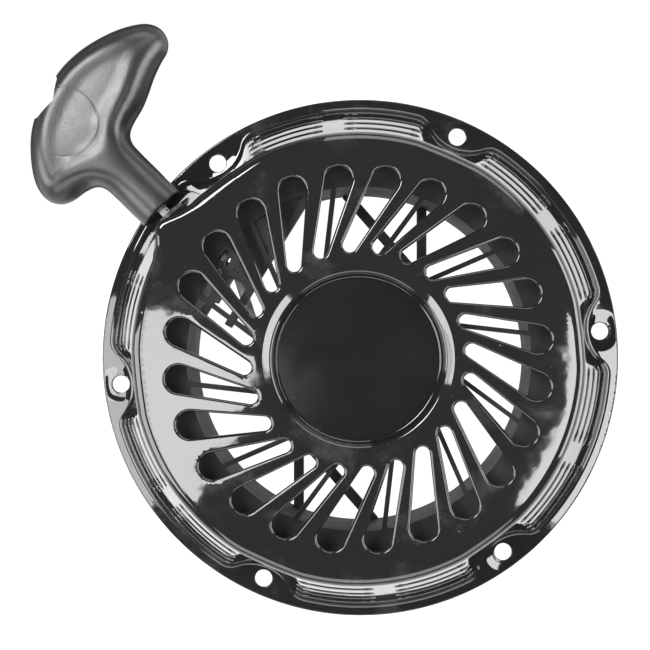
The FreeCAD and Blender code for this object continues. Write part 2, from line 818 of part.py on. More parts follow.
def make_reel():
    """The reel: spring cavity above, rope groove in the middle, ratchet housing below."""
    low = "(size.rope_level - size.groove_width / 2)"
    high = "(size.rope_level + size.groove_width / 2)"
    body = turned("reel", [
        ("size.bush_radius", "size.housing_bottom"), ("size.housing_radius", "size.housing_bottom"),
        ("size.housing_radius", f"{low} - size.reel_flange"), ("size.reel_radius", f"{low} - size.reel_flange"),
        ("size.reel_radius", low), ("size.groove_floor_radius", low), ("size.groove_floor_radius", high),
        ("size.reel_radius", high), ("size.reel_radius", f"{high} + size.reel_flange"),
        ("size.drum_radius", f"{high} + size.reel_flange"), ("size.drum_radius", "size.reel_top"),
        ("size.cavity_radius", "size.reel_top"), ("size.cavity_radius", "size.cavity_floor"),
        ("size.bush_radius", "size.cavity_floor"),
    ])
    for name, turn in (("pawl_room_1", 0), ("pawl_room_2", 180)):
        room = new_sketch(body, name, "XY_Plane", "size.housing_bottom")
        left, bottom, right, above = PAWL_ROOM
        corners = [(left, bottom), (right, bottom), (right, above), (left, above)]
        closed_outline(room, corners if turn == 0 else [(-x, -y) for x, y in corners])
        pocket(body, room, f"{low} - size.reel_flange - size.housing_bottom", True)
    pins = new_sketch(body, "pin_holes", "XY_Plane", f"{low} - size.reel_flange")
    circle(pins, "size.pawl_place", 0, "size.pawl_pin_radius + 0.02")
    circle(pins, "-size.pawl_place", 0, "size.pawl_pin_radius + 0.02")
    pocket(body, pins, 2.4, True)
    return body


# the room for the first pawl, from its lowest x and y to its highest
PAWL_ROOM = (11.6, -36.0, 50.0, 5.2)


def make_reel_with_knot_pocket(knot_place):
    """The reel with the hook notch of its spring cavity and the pocket that holds the rope's end."""
    body = make_reel()
    pocket_sketch = new_sketch(body, "knot_pocket", "XY_Plane", "size.rope_level - size.groove_width / 2")
    circle(pocket_sketch, knot_place.x, knot_place.y, REEL_KNOT_RADIUS + 2.7)
    pocket(body, pocket_sketch, "size.groove_width", True)
    notch = new_sketch(body, "hook_notch", "XY_Plane", "size.cavity_floor")
    hook = spring_hook()
    closed_outline(notch, [(p.x, p.y) for p in hook])
    pocket(body, notch, "size.spring_width + 1", True)
    return body


def spring_hook():
    """The notch in the cavity's wall for the spring's outer hook."""
    return [polar(32.5, -3), polar(36.0, -3), polar(36.0, 4), polar(32.5, 4)]


def make_reel_bush():
    outer = DOC.addObject("Part::Cylinder", "reel_bush_outer")
    outer.setExpression("Radius", "size.bush_radius")
    bore = DOC.addObject("Part::Cylinder", "reel_bush_bore")
    bore.setExpression("Radius", "size.post_radius + size.running_gap")
    for tube in (outer, bore):
        tube.setExpression("Height", "size.post_step - 0.4 - size.housing_bottom")
        tube.setExpression("Placement.Base.z", "size.housing_bottom")
    bush = DOC.addObject("Part::Cut", "reel_bush")
    bush.Base = outer
    bush.Tool = bore
    return bush


def make_recoil_spring():
    """The flat spiral spring, wound as tangent half circles from its outer hook to the post."""
    thick = size("spring_strip")
    width = Vector(0, 0, size("spring_width"))
    step = size("spring_pitch") / 2
    count = int((size("spring_outer") - size("post_hub_radius") - 1.2) / step)
    radii = [size("spring_outer") - i * step for i in range(count)]
    start = polar(size("spring_outer"), 0)
    inner_start = start - polar(thick, 0)
    outer, outer_end, _ = left_turns(start, polar(1, 90), [(r, 180) for r in radii])
    inner, inner_end, _ = left_turns(inner_start, polar(1, 90), [(r - thick, 180) for r in radii])
    closing = [Part.LineSegment(outer_end, inner_end).toShape(), Part.LineSegment(inner_start, start).toShape()]
    strip = Part.Face(Part.Wire(Part.__sortEdges__(list(outer.Edges) + list(inner.Edges) + closing)))
    inward = (ORIGIN - outer_end).normalize()
    side = Vector(-inward.y, inward.x, 0) * (thick / 2)
    tail_end = inward * (outer_end.Length - TAIL_RADIUS)
    tail_end += outer_end
    tail = face_of([outer_end + side, tail_end + side, tail_end - side, outer_end - side])
    lift = Vector(0, thick, 0)
    hook_end = polar(HOOK_RADIUS, 0)
    hook = face_of([start, hook_end, hook_end + lift, start + lift - polar(thick, 0)])
    solid = strip.extrude(width).fuse([tail.extrude(width), hook.extrude(width)])
    level = size("cavity_floor") + 0.7
    return shape_feature("recoil_spring", solid.removeSplitter(), Placement(Vector(0, 0, level), Rotation()))


# how far in the spring's tail reaches, and how far out its hook
TAIL_RADIUS = 4.8
HOOK_RADIUS = 35.2


def make_spring_cover():
    """The plate that keeps the spring in its cavity, let into the drum's top edge."""
    bottom = "size.reel_top - 1.2"
    top = "size.reel_top - 0.2"
    inner = "size.post_hub_radius + 1.5"
    outer = "size.cavity_radius - 0.02"
    return turned("spring_cover", [(inner, bottom), (outer, bottom), (outer, top), (inner, top)])


# ---------------------------------------------------------------- ratchet


def make_pawl(index):
    """A pawl: an eye on its pin and an arm that swings its tip out of the reel's housing."""
    body = new_body(f"pawl_{index}")
    arm = new_sketch(body, f"pawl_{index}_arm", "XY_Plane")
    closed_outline(arm, [
        ("-size.pawl_half_width", 0), ("-size.pawl_half_width", -12.0), (-2.4, "-size.pawl_length"),
        (3.6, "1.6 - size.pawl_length"), ("size.pawl_half_width", -14.0), ("size.pawl_half_width", 0),
    ])
    pad(body, arm, "size.pawl_height")
    eye = circle(new_sketch(body, f"pawl_{index}_eye", "XY_Plane"), 0, 0, "size.pawl_half_width + 0.6")
    pad(body, eye, "size.pawl_height")
    bore = new_sketch(body, f"pawl_{index}_bore", "XY_Plane", -1)
    circle(bore, 0, 0, "size.pawl_pin_radius + size.running_gap")
    pocket(body, bore, "size.pawl_height + 2", True)
    body.Placement = pawl_placement(index, size("pawl_bottom"))
    return body


def pawl_placement(index, level):
    """Where pawl 1 or 2 sits: the second is the first turned half round the reel."""
    turn = Rotation(Z_AXIS, 180 * (index - 1))
    return Placement(turn.multVec(Vector(size("pawl_place"), 0, level)), turn)


def make_pawl_pins():
    """The two headed pins that the pawls swing on, pressed into the reel."""
    reach = size("rope_level") - size("groove_width") / 2 - size("reel_flange") + 2.3
    pins = []
    for index in (1, 2):
        place = pawl_placement(index, size("housing_bottom")).Base
        pin = Part.makeCylinder(size("pawl_pin_radius"), reach - size("housing_bottom"), place)
        head = Part.makeCylinder(size("pawl_pin_radius") + 1.2, 0.6, place)
        pins.append(pin.fuse(head).removeSplitter())
    return shape_feature("pawl_pins", Part.makeCompound(pins))


def make_pawl_spring(index):
    """A pawl's light coil spring above it on the pin, with a leg each way."""
    wire = 0.3
    radius = size("pawl_pin_radius") + 0.55
    pitch = 0.75
    turns = 2.5
    path = Part.Wire(Part.makeHelix(pitch, pitch * turns, radius).Edges)
    section = Part.Wire([Part.makeCircle(wire, Vector(radius, 0, 0), Vector(0, 1, 0))])
    coil = path.makePipeShell([section], True, True)
    legs = [
        Part.makeCylinder(wire, 4.6, Vector(radius, 0, 0), Vector(0, 1, 0)),
        Part.makeCylinder(wire, 9.0, Vector(-radius, 0, pitch * turns), Vector(0, -1, 0)),
    ]
    return shape_feature(
        f"pawl_spring_{index}", coil.fuse(legs),
        pawl_placement(index, size("pawl_bottom") + size("pawl_height") + 0.5),
    )


# radii and levels of the ratchet's turned parts, which stack up round the screw's collar
COLLAR_RADIUS = 5.2
PLATE_OUTLINE = (
    (5.3, 11.2), (26.0, 11.2), (27.0, 12.2), (27.0, 13.6), (17.0, 13.6), (16.0, 13.0), (8.6, 13.0), (5.3, 13.0),
)
FRICTION_SPRING_OUTLINE = ((5.4, 10.2), (9.5, 10.2), (9.5, 10.9), (5.4, 10.9))
THRUST_WASHER_OUTLINE = ((3.1, 8.8), (10.5, 8.8), (10.5, 10.1), (3.1, 10.1))
CAM_PIN = (14.8, -13.0)
CAM_PIN_FOOT = 13.4
CAM_PIN_HEIGHT = 5.6
SCREW_HEAD = (4.4, 7.6)
SCREW_FLANGE = (7.5, 8.8)
SCREW_FLANGE_RADIUS = 8.0
SCREW_COLLAR = (10.1, 13.5)
SCREW_END = 25.8
SCREW_ACROSS_FLATS = 10.0


def make_ratchet_guide():
    """The friction plate under the pawls, with two pins that push them out when the reel turns."""
    body = turned("ratchet_guide", PLATE_OUTLINE)
    pins = new_sketch(body, "cam_pins", "XY_Plane", CAM_PIN_FOOT)
    circle(pins, CAM_PIN[0], CAM_PIN[1], "size.cam_pin_radius")
    circle(pins, -CAM_PIN[0], -CAM_PIN[1], "size.cam_pin_radius")
    pad(body, pins, CAM_PIN_HEIGHT)
    return body


def make_friction_spring():
    """The wave washer that presses the friction plate against its collar."""
    return shape_feature("friction_spring", turned_solid(FRICTION_SPRING_OUTLINE))


def make_thrust_washer():
    """The hard washer between the screw's flange and the friction spring."""
    return shape_feature("thrust_washer", turned_solid(THRUST_WASHER_OUTLINE))


def upright(radius, bottom, top):
    """A cylinder on the Z axis between two levels."""
    return Part.makeCylinder(radius, top - bottom, Vector(0, 0, bottom))


def make_centre_screw():
    """The shouldered hexagon screw that holds the ratchet on the post."""
    shank = upright(size("screw_radius") - 0.05, SCREW_FLANGE[0], SCREW_END)
    collar = upright(COLLAR_RADIUS, *SCREW_COLLAR)
    flange = upright(SCREW_FLANGE_RADIUS, *SCREW_FLANGE)
    corner = SCREW_ACROSS_FLATS / sqrt(3)
    bottom, top = SCREW_HEAD
    head = face_of([polar(corner, 60 * i, bottom) for i in range(6)]).extrude(Vector(0, 0, top - bottom))
    return shape_feature("centre_screw", shank.fuse([collar, flange, head]).removeSplitter())


# ---------------------------------------------------------------- grip


# the grip's outline: how far out along the stem from its inner end, and how far across it
GRIP_OUTLINE = (
    (30.0, -20.0), (29.6, -13.0), (29.0, -4.0), (29.0, 5.0), (31.0, 12.0), (35.5, 16.0), (37.6, 23.0),
    (40.0, 31.0), (44.0, 40.0), (46.6, 48.5), (50.6, 53.6), (57.0, 55.2), (63.0, 52.0), (68.4, 43.6),
    (72.0, 34.0), (74.2, 24.0), (74.6, 14.0), (72.8, 4.0), (69.8, -6.0), (65.3, -15.0), (59.2, -22.2),
    (50.6, -29.2), (43.6, -32.4), (37.2, -32.4), (32.2, -28.6),
)
GRIP_EDGE_STEPS = (-90, -68, -46, -23, 0, 23, 46, 68, 90)
GRIP_EDGE = 7.0
GRIP_COLUMNS = 48
STEM_LENGTH = 40.0
STEM_EDGE = 1.2
POCKET_LENGTH = 40.0
CAP_PLACE = 62.0
CAP_THICKNESS = 4.0
WASHER_RADIUS = 6.5


def grip_section(curve, step):
    """The bar's outline at one height of its rounded edge, drawn in more the further it is from the middle."""
    inset = GRIP_EDGE * (1 - cos(radians(step)))
    level = size("grip_thickness") / 2 * sin(radians(step))
    points = []
    for i in range(GRIP_COLUMNS):
        at = curve.FirstParameter + (curve.LastParameter - curve.FirstParameter) * i / GRIP_COLUMNS
        heading = curve.tangent(at)[0]
        inward = Vector(heading.y, -heading.x, 0)
        points.append(curve.value(at) + inward * inset + Vector(0, 0, level))
    return closed_curve(points)


def along_stem(radius, start, length):
    """A cylinder on the grip's own axis."""
    return Part.makeCylinder(radius, length, Vector(start, 0, 0), Vector(1, 0, 0))


def make_grip():
    """The moulded T grip, a pillowed bar on a round stem bored for the rope; its cap; and the knot's washer."""
    curve = Part.BSplineCurve()
    curve.interpolate([Vector(along, across, 0) for along, across in GRIP_OUTLINE], PeriodicFlag=True)
    bar = Part.makeLoft([grip_section(curve, step) for step in GRIP_EDGE_STEPS], True, False)
    stem = along_stem(size("stem_radius"), 0, STEM_LENGTH)
    stem = stem.makeFillet(STEM_EDGE, [e for e in stem.Edges if e.BoundBox.XMax < 0.01])
    bore = along_stem(size("rope_radius") + 0.5, -1, KNOT_SEAT + POCKET_LENGTH)
    knot_pocket = along_stem(size("knot_pocket_radius"), KNOT_SEAT, POCKET_LENGTH)
    grip = bar.fuse(stem).cut(bore.fuse(knot_pocket))
    cap = along_stem(size("knot_pocket_radius") - 0.1, CAP_PLACE, CAP_THICKNESS)
    hole = along_stem(size("rope_radius") + 0.3, KNOT_SEAT - 1, WASHER_THICKNESS + 2)
    washer = along_stem(WASHER_RADIUS, KNOT_SEAT, WASHER_THICKNESS).cut(hole)
    placement = Placement(
        on_rope_line(size("stem_start")),
        Rotation(OUTWARD, ACROSS, OUTWARD.cross(ACROSS), "XYZ"),
    )
    return [
        shape_feature("handle_grip", grip, placement),
        shape_feature("handle_cap", cap, placement),
        shape_feature("rope_washer", washer, placement),
    ]


def write_parts(parts):
    """Writes each sub-part to its own STEP file, after every object and shape has been checked."""
    DOC.recompute()
    for thing in DOC.Objects:
        if "Invalid" in thing.State or "Error" in thing.State:
            raise RuntimeError(f"{thing.Name} failed: {thing.State}")
    os.makedirs("parts", exist_ok=True)
    for part in parts:
        shape = part.Shape
        if shape.isNull() or not shape.isValid():
            raise RuntimeError(f"{part.Label} has no valid shape")
        print(f"{part.Label:22s} solids {len(shape.Solids)}  volume {shape.Volume:10.1f}")
        shape.exportStep(f"parts/{part.Label}.step")


ROPE_PARTS, REEL_KNOT_PLACE = make_rope()
KNOT_PLACE = on_rope_line(size("stem_start") + KNOT_SEAT + WASHER_THICKNESS + GRIP_KNOT_RADIUS)
PARTS = [
    make_cover(), make_centre_disc(), make_spindle_bracket(), make_spindle_post(), make_air_guide(),
    make_rope_guide(), make_rope_eyelet(), *ROPE_PARTS,
    knot("rope_knot_handle", KNOT_PLACE, OUTWARD, GRIP_KNOT_RADIUS),
    knot("rope_knot_reel", REEL_KNOT_PLACE, Z_AXIS, REEL_KNOT_RADIUS),
    make_reel_with_knot_pocket(REEL_KNOT_PLACE), make_reel_bush(), make_recoil_spring(), make_spring_cover(),
    make_pawl(1), make_pawl(2), make_pawl_pins(), make_pawl_spring(1), make_pawl_spring(2),
    make_ratchet_guide(), make_friction_spring(), make_thrust_washer(), make_centre_screw(), *make_grip(),
]
write_parts(PARTS)
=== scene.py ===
"""Looks of the recoil starter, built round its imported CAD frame. Metres, +Z out of the cover's top."""

import json
import math

import bmesh
import bpy
import numpy as np
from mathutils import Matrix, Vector, geometry


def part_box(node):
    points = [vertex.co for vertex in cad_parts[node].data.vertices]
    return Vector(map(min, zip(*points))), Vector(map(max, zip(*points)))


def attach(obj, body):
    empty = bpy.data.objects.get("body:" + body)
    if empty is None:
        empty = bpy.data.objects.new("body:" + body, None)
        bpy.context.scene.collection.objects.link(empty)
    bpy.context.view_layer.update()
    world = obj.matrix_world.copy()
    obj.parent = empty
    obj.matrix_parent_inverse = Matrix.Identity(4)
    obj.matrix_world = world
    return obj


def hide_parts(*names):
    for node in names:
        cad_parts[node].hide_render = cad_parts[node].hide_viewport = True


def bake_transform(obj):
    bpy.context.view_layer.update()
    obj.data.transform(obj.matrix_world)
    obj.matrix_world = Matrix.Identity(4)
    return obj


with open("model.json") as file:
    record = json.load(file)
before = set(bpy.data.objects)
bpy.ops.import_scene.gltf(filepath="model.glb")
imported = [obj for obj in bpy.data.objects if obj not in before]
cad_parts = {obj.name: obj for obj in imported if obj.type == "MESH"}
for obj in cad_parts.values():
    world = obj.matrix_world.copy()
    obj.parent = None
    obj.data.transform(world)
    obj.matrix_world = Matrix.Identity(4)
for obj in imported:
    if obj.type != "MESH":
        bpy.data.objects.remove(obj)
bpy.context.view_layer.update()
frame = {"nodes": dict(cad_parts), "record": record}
MM = 0.001


# ---- camera and light

CAMERA_HEIGHT = 0.600
CAMERA_PLACE = (0.0092, 0.0073)
FOCAL_PIXELS = 1277.0
PICTURE = 650.0
SENSOR = 36.0
# the picture is a crop that lies beside the camera's axis, as shares of its width
CROP_SHIFT = (-0.0846, 0.0262)

ROOM_TINT, ROOM_GLOW = (1.0, 0.985, 0.96, 1), 0.14
FLOOR_REACH, FLOOR_LEVEL = 2.5, -0.0004
FLOOR_TONE, FLOOR_ROUGHNESS, FLOOR_GLOW = 0.2, 0.9, 1.01
CARD_TONE, FLAG_TONE, CARD_ROUGHNESS = 0.8, 0.01, 0.5
OVERHEAD, FLAG_LEVEL = 1.06, 0.0004


def placed(name, data):
    """A new object of a mesh or a camera, in the scene."""
    obj = bpy.data.objects.new(name, data)
    bpy.context.scene.collection.objects.link(obj)
    return obj


def add_camera():
    """A camera straight above the part, at the distance that gives its perspective."""
    data = bpy.data.cameras.new("camera")
    data.sensor_width = SENSOR
    data.lens = FOCAL_PIXELS * SENSOR / PICTURE
    data.shift_x, data.shift_y = CROP_SHIFT
    data.clip_start = 0.01
    camera = placed("camera", data)
    camera.location = (*CAMERA_PLACE, CAMERA_HEIGHT)
    bpy.context.scene.camera = camera


def glowing_sheet(name, corners, tone, roughness, glow):
    """A flat grey sheet with a white glow of its own."""
    mesh = bpy.data.meshes.new(name)
    mesh.from_pydata(corners, [], [tuple(range(len(corners)))])
    paint = bpy.data.materials.new(name)
    paint.use_nodes = True
    sockets = paint.node_tree.nodes["Principled BSDF"].inputs
    sockets["Base Color"].default_value = (tone, tone, tone, 1)
    sockets["Roughness"].default_value = roughness
    sockets["Emission Color"].default_value = (1, 1, 1, 1)
    sockets["Emission Strength"].default_value = glow
    mesh.materials.append(paint)
    return placed(name, mesh)


def at_level(level, corners):
    """The corners of a level sheet, from (x, y) pairs."""
    return [(x, y, level) for x, y in corners]


def add_studio():
    """A grey floor that its own glow makes white, glowing cards hidden from the camera, and a dim room."""
    scene = bpy.context.scene
    scene.view_settings.view_transform = "Standard"
    scene.view_settings.look = "None"
    world = bpy.data.worlds.new("studio")
    world.use_nodes = True
    background = world.node_tree.nodes["Background"]
    background.inputs["Color"].default_value = ROOM_TINT
    background.inputs["Strength"].default_value = ROOM_GLOW
    scene.world = world
    near, far = -FLOOR_REACH, FLOOR_REACH
    corners = at_level(FLOOR_LEVEL, ((near, near), (far, near), (far, far), (near, far)))
    floor = glowing_sheet("floor", corners, FLOOR_TONE, FLOOR_ROUGHNESS, FLOOR_GLOW)
    for name, glow, corners in CARDS:
        card = glowing_sheet(name, corners, CARD_TONE if glow else FLAG_TONE, CARD_ROUGHNESS, glow)
        card.visible_camera = False


# each card's glow and corners, above and beside the part: they show as clean shapes in the gloss paint
CARDS = (
    ("left_card", 11.5, at_level(OVERHEAD, (
        (-0.145, -0.022), (-0.255, 0.049), (-0.30, 0.055), (-0.30, -0.215), (-0.225, -0.20), (-0.168, -0.115),
    ))),
    ("left_flange_card", 8.0, at_level(OVERHEAD, (
        (-0.302, 0.06), (-0.46, 0.09), (-0.46, -0.36), (-0.302, -0.215),
    ))),
    ("left_wall_card", 7.0, (
        (-0.75, 0.12, 0.95), (-1.2, 0.12, 0.25), (-1.2, -0.7, 0.25), (-0.75, -0.7, 0.95),
    )),
    ("right_card", 12.0, at_level(OVERHEAD, (
        (0.235, -0.063), (0.180, -0.190), (0.36, -0.34), (0.40, 0.04), (0.245, 0.04),
    ))),
    ("right_wall_card", 8.0, ((1.0, -0.5, 0.12), (1.0, 0.55, 0.12), (0.95, 0.55, 0.62), (0.95, -0.5, 0.62))),
    ("back_left_card", 26.0, at_level(OVERHEAD, (
        (-0.29, 0.26), (-0.44, 0.21), (-0.75, 0.32), (-0.75, 0.75), (-0.33, 0.60),
    ))),
    ("back_wall_card", 2.2, (
        (-0.15, 0.95, 0.30), (0.90, 0.95, 0.30), (0.90, 0.80, 0.90), (-0.15, 0.80, 0.90),
    )),
    ("front_wall_card", 2.2, (
        (-0.70, -0.95, 0.30), (0.70, -0.95, 0.30), (0.70, -0.80, 0.90), (-0.70, -0.80, 0.90),
    )),
    # a black flag under the grip keeps the floor's glow off its sides
    ("grip_flag", 0.0, at_level(FLAG_LEVEL, (
        (-0.053, 0.114), (-0.072, 0.103), (-0.089, 0.089), (-0.103, 0.072),
        (-0.114, 0.053), (-0.40, 0.053), (-0.40, 0.40), (-0.053, 0.40),
    ))),
)


# ---- material helpers


class Surface:
    """A procedural material: its shader's own sockets, and chains of nodes in the object's metres."""

    def __init__(self, name, colour, roughness, metallic=0.0, **sockets):
        self.material = bpy.data.materials.new(name)
        self.material.use_nodes = True
        self.tree = self.material.node_tree
        self.shader = self.tree.nodes["Principled BSDF"]
        self.set("Base Color", (*colour, 1))
        self.set("Roughness", roughness)
        self.set("Metallic", metallic)
        for socket, value in sockets.items():
            self.set(socket.replace("_", " "), value)
        self.place = self.node("ShaderNodeTexCoord").outputs["Object"]
        self.height = None

    def set(self, socket, value):
        self.shader.inputs[socket].default_value = value

    def node(self, kind, **values):
        node = self.tree.nodes.new(kind)
        for name, value in values.items():
            setattr(node, name, value)
        return node

    def link(self, source, target):
        self.tree.links.new(source, target)

    def noise(self, size, detail=4.0, roughness=0.55, stretch=(1, 1, 1)):
        """Noise whose features are about size metres across."""
        mapping = self.node("ShaderNodeMapping")
        mapping.inputs["Scale"].default_value = stretch
        self.link(self.place, mapping.inputs["Vector"])
        noise = self.node("ShaderNodeTexNoise")
        noise.inputs["Scale"].default_value = 1 / size
        noise.inputs["Detail"].default_value = detail
        noise.inputs["Roughness"].default_value = roughness
        self.link(mapping.outputs["Vector"], noise.inputs["Vector"])
        return noise.outputs["Fac"]

    def specks(self, size, radius, share):
        """Small round dots, one in share of the cells of that size: 1 on a dot and 0 elsewhere."""
        cells = self.node("ShaderNodeTexVoronoi")
        cells.inputs["Scale"].default_value = 1 / size
        self.link(self.place, cells.inputs["Vector"])
        near = self.ramp(cells.outputs["Distance"], radius * 0.6, radius, 1, 0)
        split = self.node("ShaderNodeSeparateColor")
        self.link(cells.outputs["Color"], split.inputs["Color"])
        picked = self.math("LESS_THAN", split.outputs[0], share)
        return self.math("MULTIPLY", near, picked)

    def ramp(self, value, low, high, out_low=0.0, out_high=1.0):
        ramp = self.node("ShaderNodeMapRange", clamp=True)
        limits = {"From Min": low, "From Max": high, "To Min": out_low, "To Max": out_high}
        for name, number in limits.items():
            ramp.inputs[name].default_value = number
        self.link(value, ramp.inputs["Value"])
        return ramp.outputs["Result"]

    def math(self, operation, a, b):
        node = self.node("ShaderNodeMath", operation=operation)
        for socket, value in zip(node.inputs, (a, b)):
            if isinstance(value, (int, float)):
                socket.default_value = value
            else:
                self.link(value, socket)
        return node.outputs[0]

    def mix(self, factor, a, b):
        node = self.node("ShaderNodeMix", data_type="RGBA")
        self.link(factor, node.inputs["Factor"])
        for socket, value in ((node.inputs[6], a), (node.inputs[7], b)):
            if isinstance(value, tuple):
                socket.default_value = (*value, 1)
            else:
                self.link(value, socket)
        return node.outputs[2]

    def colour(self, source):
        self.link(source, self.shader.inputs["Base Color"])

    def roughness(self, source):
        self.link(source, self.shader.inputs["Roughness"])

    def bump(self, source, depth, strength=1.0):
        """Relief of a depth in metres, on top of what is there."""
        bump = self.node("ShaderNodeBump")
        bump.inputs["Strength"].default_value = strength
        bump.inputs["Distance"].default_value = depth
        self.link(source, bump.inputs["Height"])
        if self.height is not None:
            self.link(self.height, bump.inputs["Normal"])
        self.height = bump.outputs["Normal"]
        self.link(self.height, self.shader.inputs["Normal"])


def wear(surface, base, worn, size, amount):
    """Colour that drifts between two tones in soft patches."""
    patches = surface.ramp(surface.noise(size, 6, 0.6), 0.5 - amount, 0.5 + amount)
    surface.colour(surface.mix(patches, base, worn))


# ---- materials


def gloss_paint():
    """Deep black stoved paint: faint orange peel, smears that dull it in patches, and fine dust."""
    s = Surface("gloss_paint", (0.006, 0.006, 0.007), 0.06, IOR=1.5, Coat_Weight=0.15, Coat_Roughness=0.03)
    dust = s.specks(0.0060, 0.055, 0.22)
    fine = s.specks(0.0021, 0.10, 0.08)
    film = s.ramp(s.noise(0.030, 8, 0.66), 0.55, 0.78)
    marks = s.math("MAXIMUM", s.math("MULTIPLY", dust, 0.42), s.math("MULTIPLY", fine, 0.25))
    marks = s.math("MAXIMUM", marks, s.math("MULTIPLY", film, 0.11))
    s.colour(s.mix(marks, (0.0085, 0.008, 0.0078), (0.30, 0.295, 0.29)))
    smear = s.ramp(s.noise(0.022, 6, 0.6, (1.0, 2.6, 1.0)), 0.52, 0.88, 0.035, 0.13)
    s.roughness(s.math("MAXIMUM", smear, s.math("MULTIPLY", marks, 0.6)))
    s.bump(s.noise(0.018, 2, 0.4), 0.00022, 0.5)
    s.bump(s.noise(0.0035, 2, 0.45), 0.00001, 0.35)
    return s.material


def disc_paint():
    """The round plate's satin black."""
    s = Surface("disc_paint", (0.005, 0.005, 0.005), 0.13, Coat_Weight=0.2, Coat_Roughness=0.08)
    dust = s.specks(0.004, 0.07, 0.12)
    s.colour(s.mix(dust, (0.005, 0.005, 0.005), (0.06, 0.06, 0.06)))
    s.roughness(s.ramp(s.noise(0.02, 5, 0.6), 0.35, 0.75, 0.09, 0.17))
    s.bump(s.noise(0.0012, 3, 0.5), 0.00001, 0.3)
    return s.material


def moulded_plastic(name, dark, light, roughness, shine):
    """Moulded plastic with fine grain and faint flow patches."""
    s = Surface(name, dark, roughness, Specular_IOR_Level=shine)
    wear(s, dark, light, 0.018, 0.22)
    s.roughness(s.ramp(s.noise(0.012, 5, 0.6), 0.3, 0.7, roughness - 0.06, roughness + 0.08))
    s.bump(s.noise(0.0006, 3, 0.6), 0.00004, 0.5)
    return s.material


def grip_plastic():
    """Charcoal satin plastic with a fine leather-like grain."""
    s = Surface("grip_plastic", (0.011, 0.011, 0.011), 0.36, IOR=1.5)
    wear(s, (0.009, 0.009, 0.009), (0.014, 0.014, 0.014), 0.02, 0.25)
    s.roughness(s.ramp(s.noise(0.008, 6, 0.65), 0.3, 0.72, 0.28, 0.37))
    s.bump(s.noise(0.0012, 4, 0.6), 0.00012, 0.50)
    s.bump(s.noise(0.0004, 2, 0.5), 0.00003, 0.35)
    return s.material


def steel(name, colour, roughness, brushed):
    """Plated or bare steel with fine directional scratches and dull patches."""
    s = Surface(name, colour, roughness, 1.0)
    dull = tuple(c * 0.72 for c in colour)
    wear(s, colour, dull, 0.006, 0.3)
    s.roughness(s.ramp(s.noise(0.0015, 5, 0.6, brushed), 0.3, 0.7, roughness * 0.75, roughness * 1.35))
    s.bump(s.noise(0.0005, 3, 0.6, brushed), 0.00002, 0.5)
    return s.material


def rope_fibre():
    """White braid: fine fibres, soft patches of greyer and whiter fibre, with dark tracer flecks."""
    s = Surface("rope_fibre", (0.78, 0.77, 0.74), 0.75, Sheen_Weight=0.25, Sheen_Roughness=0.5)
    fleck = s.specks(0.0028, 0.26, 0.16)
    base = s.mix(s.ramp(s.noise(0.0012, 5, 0.6), 0.35, 0.7), (0.62, 0.61, 0.59), (0.86, 0.85, 0.82))
    s.colour(s.mix(s.math("MULTIPLY", fleck, 0.85), base, (0.10, 0.10, 0.11)))
    s.bump(s.noise(0.0004, 4, 0.7, (1, 1, 3)), 0.0001, 0.6)
    return s.material


def bronze():
    """Sintered bronze with fine pores."""
    s = Surface("bush_bronze", (0.55, 0.38, 0.18), 0.4, 1.0)
    wear(s, (0.58, 0.40, 0.20), (0.40, 0.28, 0.14), 0.003, 0.3)
    s.bump(s.specks(0.0006, 0.3, 0.5), 0.00003, 0.5)
    return s.material


# dark tone, light tone, roughness and shine
PLASTICS = {
    "guide_plastic": ((0.014, 0.014, 0.014), (0.024, 0.024, 0.024), 0.62, 0.18),
    "bush_plastic": ((0.010, 0.010, 0.011), (0.018, 0.018, 0.018), 0.30, 0.5),
    "reel_plastic": ((0.030, 0.030, 0.032), (0.045, 0.045, 0.047), 0.48, 0.5),
    "friction_plastic": ((0.52, 0.50, 0.44), (0.60, 0.58, 0.52), 0.45, 0.5),
}
# colour, roughness and how the scratches are squeezed along each axis
STEELS = {
    "eyelet_steel": ((0.72, 0.72, 0.73), 0.14, (1, 1, 1)),
    "spring_steel": ((0.30, 0.32, 0.36), 0.30, (1, 1, 6)),
    "zinc_steel": ((0.60, 0.61, 0.62), 0.32, (1, 1, 1)),
    "pawl_steel": ((0.42, 0.41, 0.39), 0.38, (5, 1, 1)),
}
OTHERS = {
    "cover_paint": gloss_paint,
    "disc_paint": disc_paint,
    "grip_plastic": grip_plastic,
    "rope_fibre": rope_fibre,
    "bush_bronze": bronze,
}


def paint_frame():
    """Gives every CAD node the material of its slot."""
    made = {slot: build() for slot, build in OTHERS.items()}
    made |= {slot: moulded_plastic(slot, *values) for slot, values in PLASTICS.items()}
    made |= {slot: steel(slot, *values) for slot, values in STEELS.items()}
    for part in frame["record"]["subparts"]:
        mesh = frame["nodes"][part["node"]].data
        mesh.materials.clear()
        mesh.materials.append(made[part["material_slot"]])
    return made


# ---- mesh helpers


def smooth_shaded(obj, angle=40.0):
    """Smooth shading with edges sharper than an angle kept, and large faces ruling the normals."""
    obj.data.shade_smooth()
    obj.data.set_sharp_from_angle(angle=math.radians(angle))
    weigh = obj.modifiers.new("weigh", "WEIGHTED_NORMAL")
    weigh.keep_sharp = True
    weigh.weight = 100
    bake_modifiers(obj)


def bake_modifiers(obj):
    """Replaces an object's mesh by what its modifiers make of it."""
    bpy.context.view_layer.update()
    graph = bpy.context.evaluated_depsgraph_get()
    shaped = obj.evaluated_get(graph)
    mesh = bpy.data.meshes.new_from_object(shaped, preserve_all_data_layers=True, depsgraph=graph)
    obj.modifiers.clear()
    obj.data = mesh


